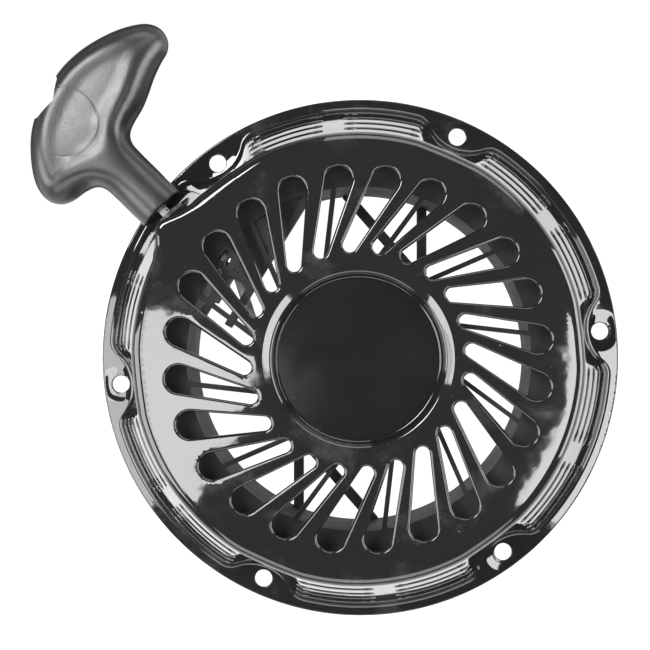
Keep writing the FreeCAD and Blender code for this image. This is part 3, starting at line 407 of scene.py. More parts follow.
def solid_of(name, points, faces):
    """An object from points in millimetres and the faces of a closed surface, turned outwards."""
    mesh = bpy.data.meshes.new(name)
    mesh.from_pydata((points * MM).tolist(), [], faces)
    used = bmesh.new()
    used.from_mesh(mesh)
    bmesh.ops.recalc_face_normals(used, faces=used.faces)
    used.to_mesh(mesh)
    used.free()
    return placed(name, mesh)


def wear_finish(obj, material, body):
    """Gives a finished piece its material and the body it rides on."""
    obj.data.materials.clear()
    obj.data.materials.append(material)
    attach(obj, body)


# ---- cover

# The cover's form in millimetres, as the frame's cover has it, but for the recess's shallow rim, the slits'
# swollen ends (SLIT_BULB), the rolled edges and the pads, which only this mesh has.
STEEL = 1.6
FLANGE_RADIUS = 121.0
FOOT_RADIUS = 116.5
RIM_RADIUS = 96.0
TOP = 58.0
RIM_ROUND = 5.0
NOSE_ROUND = 3.2
FOOT_ROUND = 2.5
RECESS_RINGS = (0, 8, 16, 24, 30, 33)
# radius, level and rounding of the recess floor's edge, of its shallow rim's knee, and of the rim's outside
RECESS = ((35.4, 53.5, 1.2), (37.2, 57.26, 1.8), (41.0, 58.0, 1.9))
BOLTS = [math.radians(6.3 + 60 * k) for k in range(6)]
BOLT_CIRCLE = 113.0
BOLT_HOLE = 4.0
SCALLOP_DEPTH, SCALLOP_ROUND, SHOULDER_ROUND = 9.8, 20.0, 8.0
SLOT_COUNT = 24
SLOT_OUTER, SLOT_INNER, SLOT_TWIST = (76.8, 5.8), (48.6, 3.0), 13.0
SLOT_ROLL = 1.1
SLIT_LEVELS = [11.0 + 12.0 * k for k in range(4)]
SLIT_HALF = 2.0
SLIT_BULB = 2.7
SLIT_ROLL = 0.7
SLIT_GROUPS = ((-20.0, -4.2), (4.2, 20.0))
ROPE_SIDE = (135.0, 154.0)
NOSE = ((-85.2, 40.5), (-87.6, 58.6), (-67.0, 65.5))
NOSE_MIDDLE, NOSE_REACH = math.radians(146), math.radians(22)
NOSE_TIP_ROUND, NOSE_BLEND = 4.0, 2.4
ROPE_ANGLE = math.radians(135)
ROPE_OFFSET, ROPE_LEVEL = -14.6, 41.0
SEAT_ALONG, SEAT_RADIUS, SEAT_BLEND = 101.2, 9.4, 2.6
ROPE_HOLE = 6.2
COLUMNS = 1080
ANGLES = np.linspace(0, 2 * math.pi, COLUMNS, endpoint=False)
# heights over which the wall's slope is taken at its rim and foot, and passes that even the rim's rounding
RIM_DROP, FOOT_RISE, RIM_PASSES = 4.0, 3.0, 24
# mean radius of the wall, for its flat layout, and the angles between which its points lie closer
WALL_MEAN = 104.0
FINE_WALL = (128, 160)
WALL_SHARES = (0, 0.12, 0.4, 0.75, 1.1)
EDGE_ROLL, BOLT_ROLL = 0.7, 0.4
PAD_DEPTH, PAD_WIDTH = 0.28, 6.0
FLANGE_INSIDE = 100.0


def unit(rows):
    """Vectors scaled to length one."""
    return rows / np.linalg.norm(rows, axis=-1, keepdims=True)


def pairs(x, y):
    """Rows of (x, y) from two rows of numbers, or from a row and one number."""
    return np.stack(np.broadcast_arrays(x, y), 1)


def polar(radius, angle):
    """The point at a radius and an angle."""
    return radius * np.array((math.cos(angle), math.sin(angle)))


def turn_between(angle, other):
    """How far apart two directions are."""
    return np.abs(np.angle(np.exp(1j * (angle - other))))


def soft_max(a, b, width):
    """The larger of two values, rounded where they cross."""
    return (a + b + np.sqrt((a - b) ** 2 + width**2)) / 2


def soft_min(a, b, width):
    """The smaller of two values, rounded where they cross."""
    return (a + b - np.sqrt((a - b) ** 2 + width**2)) / 2


def smooth_step(value, low, high):
    """Rises from 0 at low to 1 at high."""
    t = np.clip((value - low) / (high - low), 0, 1)
    return t * t * (3 - 2 * t)


def line_radius(start, end, angle):
    """How far from the axis a straight line is, seen at an angle."""
    along = np.array(end) - np.array(start)
    normal = np.array((-along[1], along[0])) / np.linalg.norm(along)
    facing = normal[0] * np.cos(angle) + normal[1] * np.sin(angle)
    return normal @ np.array(start) / np.where(np.abs(facing) < 0.2, 0.2, facing)


def nose_radius(angle):
    """The nose's pointed outline, and 0 away from it."""
    left, tip, right = NOSE
    radius = soft_min(line_radius(left, tip, angle), line_radius(tip, right, angle), NOSE_TIP_ROUND)
    return np.where((turn_between(angle, NOSE_MIDDLE) < NOSE_REACH) & (radius > 0), radius, 0.0)


def foot_outline(angle):
    """The wall's radius at the flange, drawn in round each bolt hole."""
    hollow_place = FOOT_RADIUS - SCALLOP_DEPTH + SCALLOP_ROUND
    shoulder_place = FOOT_RADIUS - SHOULDER_ROUND
    joined = SCALLOP_ROUND + SHOULDER_ROUND
    turn = math.acos((hollow_place**2 + shoulder_place**2 - joined**2) / (2 * hollow_place * shoulder_place))
    side = polar(shoulder_place, turn)
    centre = np.array((hollow_place, 0.0))
    meet = centre + (side - centre) / joined * SCALLOP_ROUND
    reach = math.atan2(meet[1], meet[0])
    radius = np.full(np.shape(angle), FOOT_RADIUS)
    for bolt in BOLTS:
        off = turn_between(angle, bolt)
        inside = np.clip(SCALLOP_ROUND**2 - (hollow_place * np.sin(off)) ** 2, 0, None)
        hollow = hollow_place * np.cos(off) - np.sqrt(inside)
        lean = off - turn
        outside = np.clip(SHOULDER_ROUND**2 - (shoulder_place * np.sin(lean)) ** 2, 0, None)
        shoulder = shoulder_place * np.cos(lean) + np.sqrt(outside)
        radius = np.where(off < reach, hollow, np.where(off < turn, shoulder, radius))
    return radius


def wall_radius(angle, level):
    """The outer wall's radius: a scalloped cone, the nose that stands out of it, and the rope's flat seat."""
    cone = RIM_RADIUS + (foot_outline(angle) - RIM_RADIUS) * (TOP - level) / TOP
    nose = nose_radius(angle)
    wall = np.where(nose > 0, soft_max(cone, nose, NOSE_BLEND), cone)
    across = wall * np.sin(angle - ROPE_ANGLE) * -1
    seat = SEAT_ALONG / np.clip(np.cos(angle - ROPE_ANGLE), 0.5, 1)
    distance = np.hypot(across - ROPE_OFFSET, level - ROPE_LEVEL)
    facing = np.cos(angle - ROPE_ANGLE) > 0.5
    seated = seat + (wall - seat) * smooth_step(distance, SEAT_RADIUS, SEAT_RADIUS + SEAT_BLEND)
    return np.where(facing, seated, wall)


def fillet(corner, into, away, radius, steps):
    """Points of a rounded corner, for every row of the arrays of corners and directions."""
    turn = np.arccos(np.clip(np.sum(into * away, 1), -1, 1))
    reach = radius * np.tan(turn / 2)
    centre = corner + unit(away - into) * (radius / np.cos(turn / 2))[:, None]
    start = corner - into * reach[:, None] - centre
    sideways = into * np.asarray(radius).reshape(-1, 1)
    return [
        centre + start * np.cos(turn * k / steps)[:, None] + sideways * np.sin(turn * k / steps)[:, None]
        for k in range(steps + 1)
    ]


def uneven_capsule(points, outer, outer_radius, inner, inner_radius):
    """Signed distance to a slot with two round ends."""
    length = np.linalg.norm(inner - outer)
    heading = (inner - outer) / length
    p = points - outer
    along = p @ heading
    off = np.abs(p @ np.array((-heading[1], heading[0])))
    lean = (outer_radius - inner_radius) / length
    rise = math.sqrt(1 - lean * lean)
    k = along * rise - off * lean
    flat = off * rise + along * lean - outer_radius
    first = np.hypot(off, along) - outer_radius
    last = np.hypot(off, along - length) - inner_radius
    return np.where(k < 0, first, np.where(k > length * rise, last, flat))


def slot_frames():
    """The centres of each slot's outer and inner ends."""
    for i in range(SLOT_COUNT):
        angle = BOLTS[0] + i * 2 * math.pi / SLOT_COUNT
        yield polar(SLOT_OUTER[0], angle), polar(SLOT_INNER[0], angle + math.radians(SLOT_TWIST))


def arc_points(centre, radius, turn):
    """Points round a centre at the angles of turn."""
    return pairs(centre[0] + radius * np.cos(turn), centre[1] + radius * np.sin(turn))


def circle_loop(centre, radius, count):
    """Even points of a circle."""
    return arc_points(centre, radius, np.linspace(0, 2 * math.pi, count, endpoint=False))


def slot_loop(outer, inner, grown):
    """A slot's outline, grown by a distance."""
    length = np.linalg.norm(inner - outer)
    heading = math.atan2(*(inner - outer)[::-1])
    lean = math.acos((SLOT_OUTER[1] - SLOT_INNER[1]) / length)
    big = arc_points(outer, SLOT_OUTER[1] + grown, heading + np.linspace(lean, 2 * math.pi - lean, 34))
    small = arc_points(inner, SLOT_INNER[1] + grown, heading + np.linspace(-lean, lean, 22))
    return np.concatenate((big, small))


def triangulate(loops, points, distance):
    """Triangles over loops and loose points, kept where the distance at their middle is positive."""
    rows = [np.asarray(loop) for loop in loops] + [np.asarray(points).reshape(-1, 2)]
    edges, start = [], 0
    for loop in rows[:-1]:
        count = len(loop)
        edges += [(start + i, start + (i + 1) % count) for i in range(count)]
        start += count
    flat = np.concatenate(rows)
    found = geometry.delaunay_2d_cdt([Vector(p) for p in flat], edges, [], 0, 1e-7, True)
    # each vertex takes its own point's full precision back, so that patches meet exactly
    verts = np.array([flat[given[0]] if given else tuple(v) for v, given in zip(found[0], found[3])])
    faces = np.array(found[2])
    middle = verts[faces].mean(1)
    faces = faces[distance(middle) > -1e-5]
    a, b, c = (verts[faces[:, k]] for k in range(3))
    turned = (b[:, 0] - a[:, 0]) * (c[:, 1] - a[:, 1]) - (b[:, 1] - a[:, 1]) * (c[:, 0] - a[:, 0]) < 0
    faces[turned] = faces[turned][:, ::-1]
    return verts, faces


def ring_strip(rows):
    """A patch between rows of points that each go once round the axis."""
    verts = np.concatenate(rows)
    quads = np.array(ring_quads(len(rows), len(rows[0])))
    return verts, np.concatenate((quads[:, [0, 1, 2]], quads[:, [0, 2, 3]])), np.zeros(len(verts))


def round_row(radius_level):
    """A row of points round the axis from (columns, 2) radii and levels."""
    r, z = radius_level[:, 0], radius_level[:, 1]
    return np.stack((r * np.cos(ANGLES), r * np.sin(ANGLES), z), 1)


def even(radius, level):
    """The same radius and level in every column."""
    return np.tile(np.array((radius, level), float), (COLUMNS, 1))


def recess_rows():
    """The recessed centre, from its middle out to the flat top."""
    floor, edge = RECESS[0], RECESS[-1]
    corners = [(0.0, floor[1], 0.0), *RECESS, (edge[0] + 3.0, edge[1], 0.0)]
    rows = [even(radius, floor[1]) for radius in RECESS_RINGS]
    for before, corner, after in zip(corners, corners[1:], corners[2:]):
        headings = []
        for start, end in ((before, corner), (corner, after)):
            headings.append(unit(even(end[0] - start[0], end[1] - start[1])))
        rows += fillet(even(corner[0], corner[1]), *headings, np.full(COLUMNS, corner[2]), 7)
    return rows + [even(edge[0] + 2.6, edge[1])]


def chord_limit(row, points):
    """The radius of a ring's straight sides in the direction of each point."""
    angle = np.arctan2(points[:, 1], points[:, 0]) % (2 * math.pi)
    step = 2 * math.pi / COLUMNS
    first = np.floor(angle / step).astype(int) % COLUMNS
    along = angle - first * step
    a, b = row[first, 0], row[(first + 1) % COLUMNS, 0]
    return a * b * math.sin(step) / (a * np.sin(along) + b * np.sin(step - along))


# height of a triangular grid's rows, as a share of its step
ROW_SHARE = 0.866


def grid_points(step, keep):
    """Loose points of a triangular grid."""
    reach = int(FLANGE_RADIUS / step) + 1
    rows = []
    for j in range(-reach, reach + 1):
        x = (np.arange(-reach, reach + 1) + 0.5 * (j % 2)) * step
        rows.append(pairs(x, j * step * ROW_SHARE))
    points = np.concatenate(rows)
    return points[keep(points)]


def wall_at(level):
    """The wall's radius and level in every column."""
    return pairs(wall_radius(ANGLES, level), level)


def cover_patches():
    """The cover's outer surface in patches that share their edges: points, faces and each point's drop."""
    rim_round = np.where(nose_radius(ANGLES) > RIM_RADIUS - 1, NOSE_ROUND, RIM_ROUND).astype(float)
    for _ in range(RIM_PASSES):
        rim_round = (np.roll(rim_round, 1) + rim_round + np.roll(rim_round, -1)) / 3
    level = even(1.0, 0.0)
    falling = unit(wall_at(TOP - RIM_DROP) - wall_at(TOP))
    rim_rows = fillet(wall_at(TOP), level, falling, rim_round, 10)
    rim_rows[-1][:, 0] = wall_radius(ANGLES, rim_rows[-1][:, 1])
    landing = unit(wall_at(STEEL) - wall_at(STEEL + FOOT_RISE))
    foot_rows = fillet(wall_at(STEEL), landing, level, np.full(COLUMNS, FOOT_ROUND), 6)
    foot_rows[0][:, 0] = wall_radius(ANGLES, foot_rows[0][:, 1])

    yield ring_strip([round_row(r) for r in recess_rows()])
    yield top_patch(recess_rows()[-1], rim_rows[0])
    yield ring_strip([round_row(r) for r in rim_rows])
    yield wall_patch(rim_rows[-1], foot_rows[0])
    yield ring_strip([round_row(r) for r in foot_rows])
    yield flange_patch(foot_rows[-1])


def top_patch(inner_row, outer_row):
    """The flat top with its slots."""
    slots = list(slot_frames())
    edges = (round_row(inner_row)[:, :2], round_row(outer_row)[:, :2])

    def to_slot(points):
        reach = [uneven_capsule(points, a, SLOT_OUTER[1], b, SLOT_INNER[1]) for a, b in slots]
        return np.min(reach, axis=0)

    def in_sheet(points):
        radius = np.hypot(*points.T)
        between = np.minimum(radius - chord_limit(inner_row, points), chord_limit(outer_row, points) - radius)
        return np.minimum(to_slot(points), between)

    shares = (0, 0.08, 0.25, 0.5, 0.78, 1.1)
    loops = [*edges, *(slot_loop(a, b, SLOT_ROLL * share) for a, b in slots for share in shares)]
    loose = grid_points(2.2, lambda p: in_sheet(p) > 1.8)
    verts, faces = triangulate(loops, loose, in_sheet)
    return np.column_stack((verts, np.full(len(verts), TOP))), faces, roll_depth(to_slot(verts), SLOT_ROLL)


def slit_places():
    """Middle angle, half angle and level of each slit."""
    for bolt in BOLTS:
        for start, end in SLIT_GROUPS:
            middle = math.degrees(bolt) + 30 + (start + end) / 2
            if not ROPE_SIDE[0] < middle < ROPE_SIDE[1]:
                for level in SLIT_LEVELS:
                    yield math.radians(middle), math.radians((end - start) / 2), level


def wall_patch(upper_row, lower_row):
    """The wall with its slits and the rope's hole, laid out flat: angle times a mean radius, and level."""
    mean = WALL_MEAN
    # the flat layout starts where no slit is, at the first bolt hole
    seam = BOLTS[0]

    def unroll(angle):
        return ((angle - seam) % (2 * math.pi)) * mean

    axis = polar(SEAT_ALONG, ROPE_ANGLE) + polar(ROPE_OFFSET, ROPE_ANGLE - math.pi / 2)
    mouth_place = np.array((unroll(math.atan2(axis[1], axis[0])), ROPE_LEVEL))
    narrow = mean / np.linalg.norm(axis)
    slits = [(unroll(angle), half * mean, level) for angle, half, level in slit_places()]

    def to_hole(points):
        reach = []
        for middle, half, level in slits:
            x = np.abs(points[:, 0] - middle) - half
            reach.append(np.hypot(np.maximum(x, 0), points[:, 1] - level) - SLIT_HALF)
            reach.append(np.hypot(x, points[:, 1] - level) - SLIT_BULB)
        offset = (points - mouth_place) * np.array((1 / narrow, 1))
        reach.append(np.hypot(*offset.T) - ROPE_HOLE)
        return np.min(reach, axis=0)

    first = int(np.ceil(seam / (2 * math.pi) * COLUMNS))
    order = (np.arange(COLUMNS + 1) + first) % COLUMNS
    across = unroll(ANGLES[order])
    across[-1] += 2 * math.pi * mean
    upper, lower = upper_row[order, 1], lower_row[order, 1]
    low_x, high_x = across[0], across[-1]

    def in_sheet(points):
        top = np.interp(points[:, 0], across, upper)
        bottom = np.interp(points[:, 0], across, lower)
        return np.minimum(to_hole(points), np.minimum(top - points[:, 1], points[:, 1] - bottom))

    sides = np.linspace(lower[0], upper[0], 14)[1:-1]
    left, right = pairs(low_x, sides), pairs(high_x, sides)
    border = np.concatenate((pairs(across, lower), right, pairs(across, upper)[::-1], left[::-1]))
    loops = [border]
    for share in WALL_SHARES:
        loops += [slit_loop(*slit, SLIT_ROLL * share) for slit in slits]
        ring = circle_loop((0, 0), ROPE_HOLE + SLIT_ROLL * share, 48) * np.array((narrow, 1))
        loops.append(ring + mouth_place)

    def staggered(x, levels, shift):
        return [pairs(x + shift * (j % 2), level) for j, level in enumerate(levels)]

    nose_from, nose_to = (unroll(math.radians(a)) for a in FINE_WALL)
    loose = staggered(across[:-1:3], np.arange(7.0, 55.0, 1.9), 1.5 * (across[1] - across[0]))
    loose += staggered(np.arange(nose_from, nose_to, 0.62), np.arange(5.0, 55.4, 0.58), 0.31)
    loose = np.concatenate(loose)
    room = np.where((loose[:, 0] > nose_from) & (loose[:, 0] < nose_to), 0.42, 0.9)
    from_seam = np.minimum(loose[:, 0] - low_x, high_x - loose[:, 0])
    loose = loose[(in_sheet(loose) > room) & (to_hole(loose) > SLIT_ROLL * 1.1 + 0.3) & (from_seam > 0.4)]
    verts, faces = triangulate(loops, loose, in_sheet)
    angle = verts[:, 0] / mean + seam
    radius = wall_radius(angle, verts[:, 1])
    placed = np.stack((radius * np.cos(angle), radius * np.sin(angle), verts[:, 1]), 1)
    # laid out flat from outside, the angle runs to the right and the level up, so the faces already look out
    return placed, faces, roll_depth(to_hole(verts), SLIT_ROLL)


def slit_loop(middle, half, level, off):
    """A slit's outline with swollen round ends, at a distance outside it."""
    bulb, waist = SLIT_BULB + off, SLIT_HALF + off
    reach = half - math.sqrt(bulb**2 - waist**2)
    run = np.linspace(-reach, reach, 14)[1:-1]
    widest = math.pi - math.asin(waist / bulb)
    turn = np.linspace(-widest, widest, 18)
    right = arc_points((middle + half, level), bulb, turn)
    above = pairs(middle - run, level + waist)
    left = arc_points((middle - half, level), -bulb, turn)
    below = pairs(middle + run, level - waist)
    return np.concatenate((right, above, left, below))


def flange_patch(inner_row):
    """The flange with its bolt holes and its rounded outer edge."""
    bolts = [polar(BOLT_CIRCLE, a) for a in BOLTS]

    def to_bolt(points):
        return np.min([np.hypot(*(points - bolt).T) for bolt in bolts], axis=0) - BOLT_HOLE

    def to_rim(points):
        return FLANGE_RADIUS - np.hypot(*points.T)

    def in_sheet(points):
        inner = np.hypot(*points.T) - chord_limit(inner_row, points)
        return np.minimum(np.minimum(to_bolt(points), to_rim(points)), inner)

    shares = (0, 0.1, 0.35, 0.7, 1.1)
    loops = [round_row(inner_row)[:, :2]]
    loops += [circle_loop((0, 0), FLANGE_RADIUS - EDGE_ROLL * share, COLUMNS) for share in shares]
    loops += [circle_loop(bolt, BOLT_HOLE + BOLT_ROLL * share, 48) for bolt in bolts for share in shares]

    def outside_wall(points, room):
        return (in_sheet(points) > room) & (np.hypot(*points.T) > FLANGE_INSIDE)

    wide = grid_points(1.7, lambda p: outside_wall(p, 1.2) & (to_bolt(p) > PAD_WIDTH + 1.5))
    fine = grid_points(0.8, lambda p: outside_wall(p, 0.7) & (to_bolt(p) < PAD_WIDTH + 0.9))
    verts, faces = triangulate(loops, np.concatenate((wide, fine)), in_sheet)
    drops = np.maximum(roll_depth(to_bolt(verts), BOLT_ROLL), roll_depth(to_rim(verts), EDGE_ROLL))
    # each bolt hole sits in a shallow pressed pad
    from_foot = np.hypot(*verts.T) - chord_limit(inner_row, verts)
    pad = (1 - smooth_step(to_bolt(verts), 0.5, PAD_WIDTH)) * smooth_step(from_foot, 0.0, 2.0)
    drops += PAD_DEPTH * pad * smooth_step(to_rim(verts), 0.0, 2.5)
    return np.column_stack((verts, np.full(len(verts), STEEL))), faces, drops


def roll_depth(distance, radius):
    """How far a rounded edge has dropped at a distance from the hole."""
    inside = np.clip(radius - np.maximum(distance, 0), 0, radius)
    return radius - np.sqrt(np.maximum(radius**2 - inside**2, 0))


def weld(patches):
    """One surface from patches that share their edges: points, faces and how far each point drops."""
    points, faces, drops, start = [], [], [], 0
    for verts, tris, dropped in patches:
        points.append(verts)
        faces.append(tris + start)
        drops.append(dropped)
        start += len(verts)
    points, faces, drops = np.concatenate(points), np.concatenate(faces), np.concatenate(drops)
    _, first, same = np.unique(np.round(points, 3), axis=0, return_index=True, return_inverse=True)
    faces = same.reshape(-1)[faces]
    distinct = (faces[:, 0] != faces[:, 1]) & (faces[:, 1] != faces[:, 2]) & (faces[:, 2] != faces[:, 0])
    return points[first], faces[distinct], drops[first]


def point_normals(points, faces):
    """The mean facing of the faces round each point, larger faces counting for more."""
    a, b, c = (points[faces[:, k]] for k in range(3))
    lean = np.cross(b - a, c - a)
    normals = np.zeros_like(points)
    for k in range(3):
        np.add.at(normals, faces[:, k], lean)
    return normals / np.maximum(np.linalg.norm(normals, axis=1), 1e-12)[:, None]


def border_edges(faces):
    """Directed edges that only one face has."""
    edges = np.concatenate((faces[:, [0, 1]], faces[:, [1, 2]], faces[:, [2, 0]]))
    keys = np.sort(edges, axis=1)
    _, inverse, counts = np.unique(keys, axis=0, return_inverse=True, return_counts=True)
    return edges[counts[inverse.reshape(-1)] == 1]


def make_cover():
    """The stamped cover as one closed sheet of steel with rolled edges."""
    points, faces, drops = weld(cover_patches())
    normals = point_normals(points, faces)
    outside = points - normals * drops[:, None]
    inside = points - normals * STEEL
    inside[:, 2] = np.maximum(inside[:, 2], 0.0)
    count = len(points)
    edges = border_edges(faces)
    sides = np.concatenate((
        np.stack((edges[:, 1], edges[:, 0], edges[:, 0] + count), 1),
        np.stack((edges[:, 1], edges[:, 0] + count, edges[:, 1] + count), 1),
    ))
    mesh = bpy.data.meshes.new("cover_shell")
    triangles = np.concatenate((faces, faces[:, ::-1] + count, sides))
    mesh.from_pydata((np.concatenate((outside, inside)) * MM).tolist(), [], triangles.tolist())
    mesh.validate()
    used = bmesh.new()
    used.from_mesh(mesh)
    bmesh.ops.delete(used, geom=[v for v in used.verts if not v.link_faces], context="VERTS")
    used.to_mesh(mesh)
    used.free()
    return placed("cover_shell", mesh)


# ---- grip

# the rope's line out of the cover, and the grip's own axes along it
OUTWARD = Vector((math.cos(ROPE_ANGLE), math.sin(ROPE_ANGLE), 0))
ACROSS = Vector((-OUTWARD.y, OUTWARD.x, 0)) * -1
STEM_START = 106.6
STEM_RADIUS = 10.75
STEM_CUT = 1.2
BORE_RADIUS = 2.75
GRIP_HALF = 12.4
DISH_DEPTH = 1.2
# the T grip's outline: how far out along the stem, and how far across it
GRIP_OUTLINE = (
    *((along, STEM_RADIUS) for along in (-14, -4, 6, 16, 25)), (30.6, 11.2), (34.6, 13.6), (36.7, 18.6),
    (38.2, 25.0), (41.0, 31.8), (44.2, 38.5), (46.4, 44.8), (47.8, 50.2), (51.2, 54.0), (57.0, 55.2),
    (63.0, 52.0), (68.4, 43.6), (72.0, 34.0), (74.2, 24.0), (74.6, 14.0), (73.0, 4.0), (69.8, -6.0),
    (65.3, -15.0), (59.2, -22.2), (51.0, -29.0), (44.0, -32.3), (37.6, -32.4), (33.0, -29.4), (30.8, -24.6),
    (30.0, -18.6), (28.0, -13.7), (23.6, -11.2), *((along, -STEM_RADIUS) for along in (16, 6, -4, -14)),
)
# the knot's pocket as (along, radius), and CAP, the plug in its mouth, the same way
POCKET = ((50.0, 8.1), (62.0, 8.1), (66.6, 8.3), (67.4, 9.0), (68.0, 10.4), (90.0, 11.0))
SEAM_CENTRE, SEAM_RADIUS, SEAM_DEPTH = np.array((55.0, -3.0)), 15.0, 0.11
# the notch that opens the pocket's mouth at the bar's back, as (along, across)
NOTCH = ((64.7, -9.8), (64.3, 0.3), (70.5, 8.2), (84.0, 10.0), (84.0, -14.0), (66.6, -11.5))
CAP = ((60.7, 7.3), (61.2, 7.85), (63.0, 7.85), (63.6, 7.4), (63.9, 6.0), (64.0, 3.0))


def along_rope(points):
    """Points given along, across and up from the stem's inner end, put in the part's own frame."""
    points = np.asarray(points, float).reshape(-1, 3)
    side = np.array(ACROSS)
    out = np.array(OUTWARD)
    up = np.array((0.0, 0.0, 1.0))
    start = out * STEM_START + side * ROPE_OFFSET + up * ROPE_LEVEL
    return start + points[:, :1] * out + points[:, 1:2] * side + points[:, 2:] * up


def smooth_loop(points, step):
    """A closed smooth curve through points, as evenly spaced points."""
    points = np.array(points, float)
    before, after, second = np.roll(points, 1, 0), np.roll(points, -1, 0), np.roll(points, -2, 0)
    rows = [0.5 * (
        2 * points + (after - before) * t + (2 * before - 5 * points + 4 * after - second) * t**2
        + (3 * points - before - 3 * after + second) * t**3
    ) for t in np.linspace(0, 1, 24, endpoint=False)]
    dense = np.stack(rows, 1).reshape(-1, 2)
    closed = np.vstack((dense, dense[:1]))
    travelled = np.concatenate(([0], np.cumsum(np.linalg.norm(np.diff(closed, axis=0), axis=1))))
    at = np.linspace(0, travelled[-1], int(travelled[-1] / step), endpoint=False)
    return np.stack([np.interp(at, travelled, closed[:, k]) for k in (0, 1)], 1)


def distance_inside(points, loop):
    """How far points are inside a closed outline, negative outside it."""
    start, end = loop, np.roll(loop, -1, 0)
    along = end - start
    best = np.full(len(points), 1e9)
    crossed = np.zeros(len(points), bool)
    for a, b, d in zip(start, end, along):
        t = np.clip(((points - a) @ d) / (d @ d), 0, 1)
        best = np.minimum(best, np.linalg.norm(points - a - t[:, None] * d, axis=1))
        straddles = (a[1] > points[:, 1]) != (b[1] > points[:, 1])
        with np.errstate(divide="ignore", invalid="ignore"):
            x = a[0] + (points[:, 1] - a[1]) * d[0] / d[1]
        crossed ^= straddles & (points[:, 0] < x)
    return np.where(crossed, best, -best)


def inflate(verts, faces, fixed):
    """The height of a sheet blown up from its fixed border: a Poisson solve with cotangent weights."""
    corner, start, end = (np.concatenate([faces[:, (k + j) % 3] for k in range(3)]) for j in range(3))
    u, v = verts[start] - verts[corner], verts[end] - verts[corner]
    area = np.abs(u[:, 0] * v[:, 1] - u[:, 1] * v[:, 0])
    weight = 0.5 * np.sum(u * v, 1) / np.maximum(area, 1e-9)
    count = len(verts)
    diagonal = np.bincount(start, weight, count) + np.bincount(end, weight, count)
    load = np.bincount(faces.ravel(), np.repeat(area[-len(faces):] / 6, 3), count)
    free = ~fixed

    def stiffness(x):
        around = np.bincount(start, weight * x[end], count) + np.bincount(end, weight * x[start], count)
        return (diagonal * x - around) * free

    value = np.zeros(count)
    rest = load * free
    guess = rest / np.maximum(diagonal, 1e-9)
    heading, energy = guess.copy(), rest @ guess
    for _ in range(900):
        pull = stiffness(heading)
        step = energy / (heading @ pull)
        value += step * heading
        rest -= step * pull
        guess = rest / np.maximum(diagonal, 1e-9)
        energy, before = rest @ guess, energy
        if energy < 1e-10:
            break
        heading = guess + energy / before * heading
    return np.sqrt(np.maximum(2 * value, 0))


def grip_sheet():
    """The grip seen from above as triangles, with the half thickness at each point."""
    outline = smooth_loop(GRIP_OUTLINE, 0.75)
    heading = unit(np.roll(outline, -1, 0) - np.roll(outline, 1, 0))
    inward = pairs(-heading[:, 1], heading[:, 0])
    if distance_inside(outline[:1] + inward[:1], outline)[0] < 0:
        inward = -inward
    loops = [outline + inward * d for d in (0, 0.05, 0.2, 0.45, 0.8, 1.25, 1.8, 2.45)]
    grid = np.stack(np.meshgrid(np.arange(-13.5, 75, 1.25), np.arange(-33, 56, 1.25)), -1).reshape(-1, 2)
    grid[:, 1] += 0.6 * (np.round(grid[:, 0] / 1.25).astype(int) % 2)
    arcs = [circle_loop(SEAM_CENTRE, SEAM_RADIUS + off, 150) for off in (-0.7, -0.35, 0, 0.35, 0.7)]
    near_seam = np.abs(np.linalg.norm(grid - SEAM_CENTRE, axis=1) - SEAM_RADIUS) < 1.2
    loose = np.concatenate([grid[~near_seam]] + arcs)
    loose = loose[distance_inside(loose, outline) > 3.0]
    # a straight row of points where the stem is cut off
    cut = pairs(STEM_CUT, np.linspace(-8.0, 8.0, 29))
    loose = np.concatenate((loose[np.abs(loose[:, 0] - STEM_CUT) > 0.5], cut))
    verts, faces = triangulate(loops, loose, lambda p: distance_inside(p, outline))
    inside = distance_inside(verts, outline)
    height = inflate(verts, faces, inside < 1e-3)
    height = height / (1 + (height / (GRIP_HALF + 0.9)) ** 7) ** (1 / 7)
    on_bar = smooth_step(verts[:, 0], 33.0, 43.0)
    height -= DISH_DEPTH * on_bar * smooth_step(inside, 5.5, 14.5)
    from_seam = np.abs(np.linalg.norm(verts - SEAM_CENTRE, axis=1) - SEAM_RADIUS)
    # the moulding's round mark is clear on the stem's side only
    facing = (verts - SEAM_CENTRE) @ np.array((-0.707, 0.707)) / SEAM_RADIUS
    mark = (1 - smooth_step(from_seam, 0.0, 0.5)) * smooth_step(facing, -0.8, 0.0)
    height -= SEAM_DEPTH * mark * smooth_step(inside, 3.0, 6.0)
    return verts, faces, np.maximum(height, 0)


def make_grip():
    """The T grip: a blown-up outline, bored for the rope, with the knot's pocket and its notch cut out."""
    verts, faces, height = grip_sheet()
    count = len(verts)
    points = np.concatenate((np.column_stack((verts, height)), np.column_stack((verts, -height))))
    used = bmesh.new()
    made_verts = [used.verts.new(p) for p in points]
    for a, b, c in faces:
        used.faces.new((made_verts[a], made_verts[b], made_verts[c]))
        used.faces.new((made_verts[c + count], made_verts[b + count], made_verts[a + count]))
    bmesh.ops.remove_doubles(used, verts=used.verts, dist=1e-4)
    geom = list(used.verts) + list(used.edges) + list(used.faces)
    plane = {"plane_co": (STEM_CUT, 0, 0), "plane_no": (1, 0, 0)}
    cut = bmesh.ops.bisect_plane(used, geom=geom, clear_inner=True, dist=1e-4, **plane)
    rim = [e for e in cut["geom_cut"] if isinstance(e, bmesh.types.BMEdge)]
    close_stem(used, rim)
    bmesh.ops.recalc_face_normals(used, faces=used.faces)
    for vert in used.verts:
        vert.co = Vector(along_rope([tuple(vert.co)])[0]) * MM
    mesh = bpy.data.meshes.new("grip_body")
    used.to_mesh(mesh)
    used.free()
    grip = placed("grip_body", mesh)
    # the flared room that the knot is pushed into from the grip's outer side
    cut_away(grip, lathe("pocket_cutter", POCKET))
    cut_away(grip, notch_cutter())
    return grip


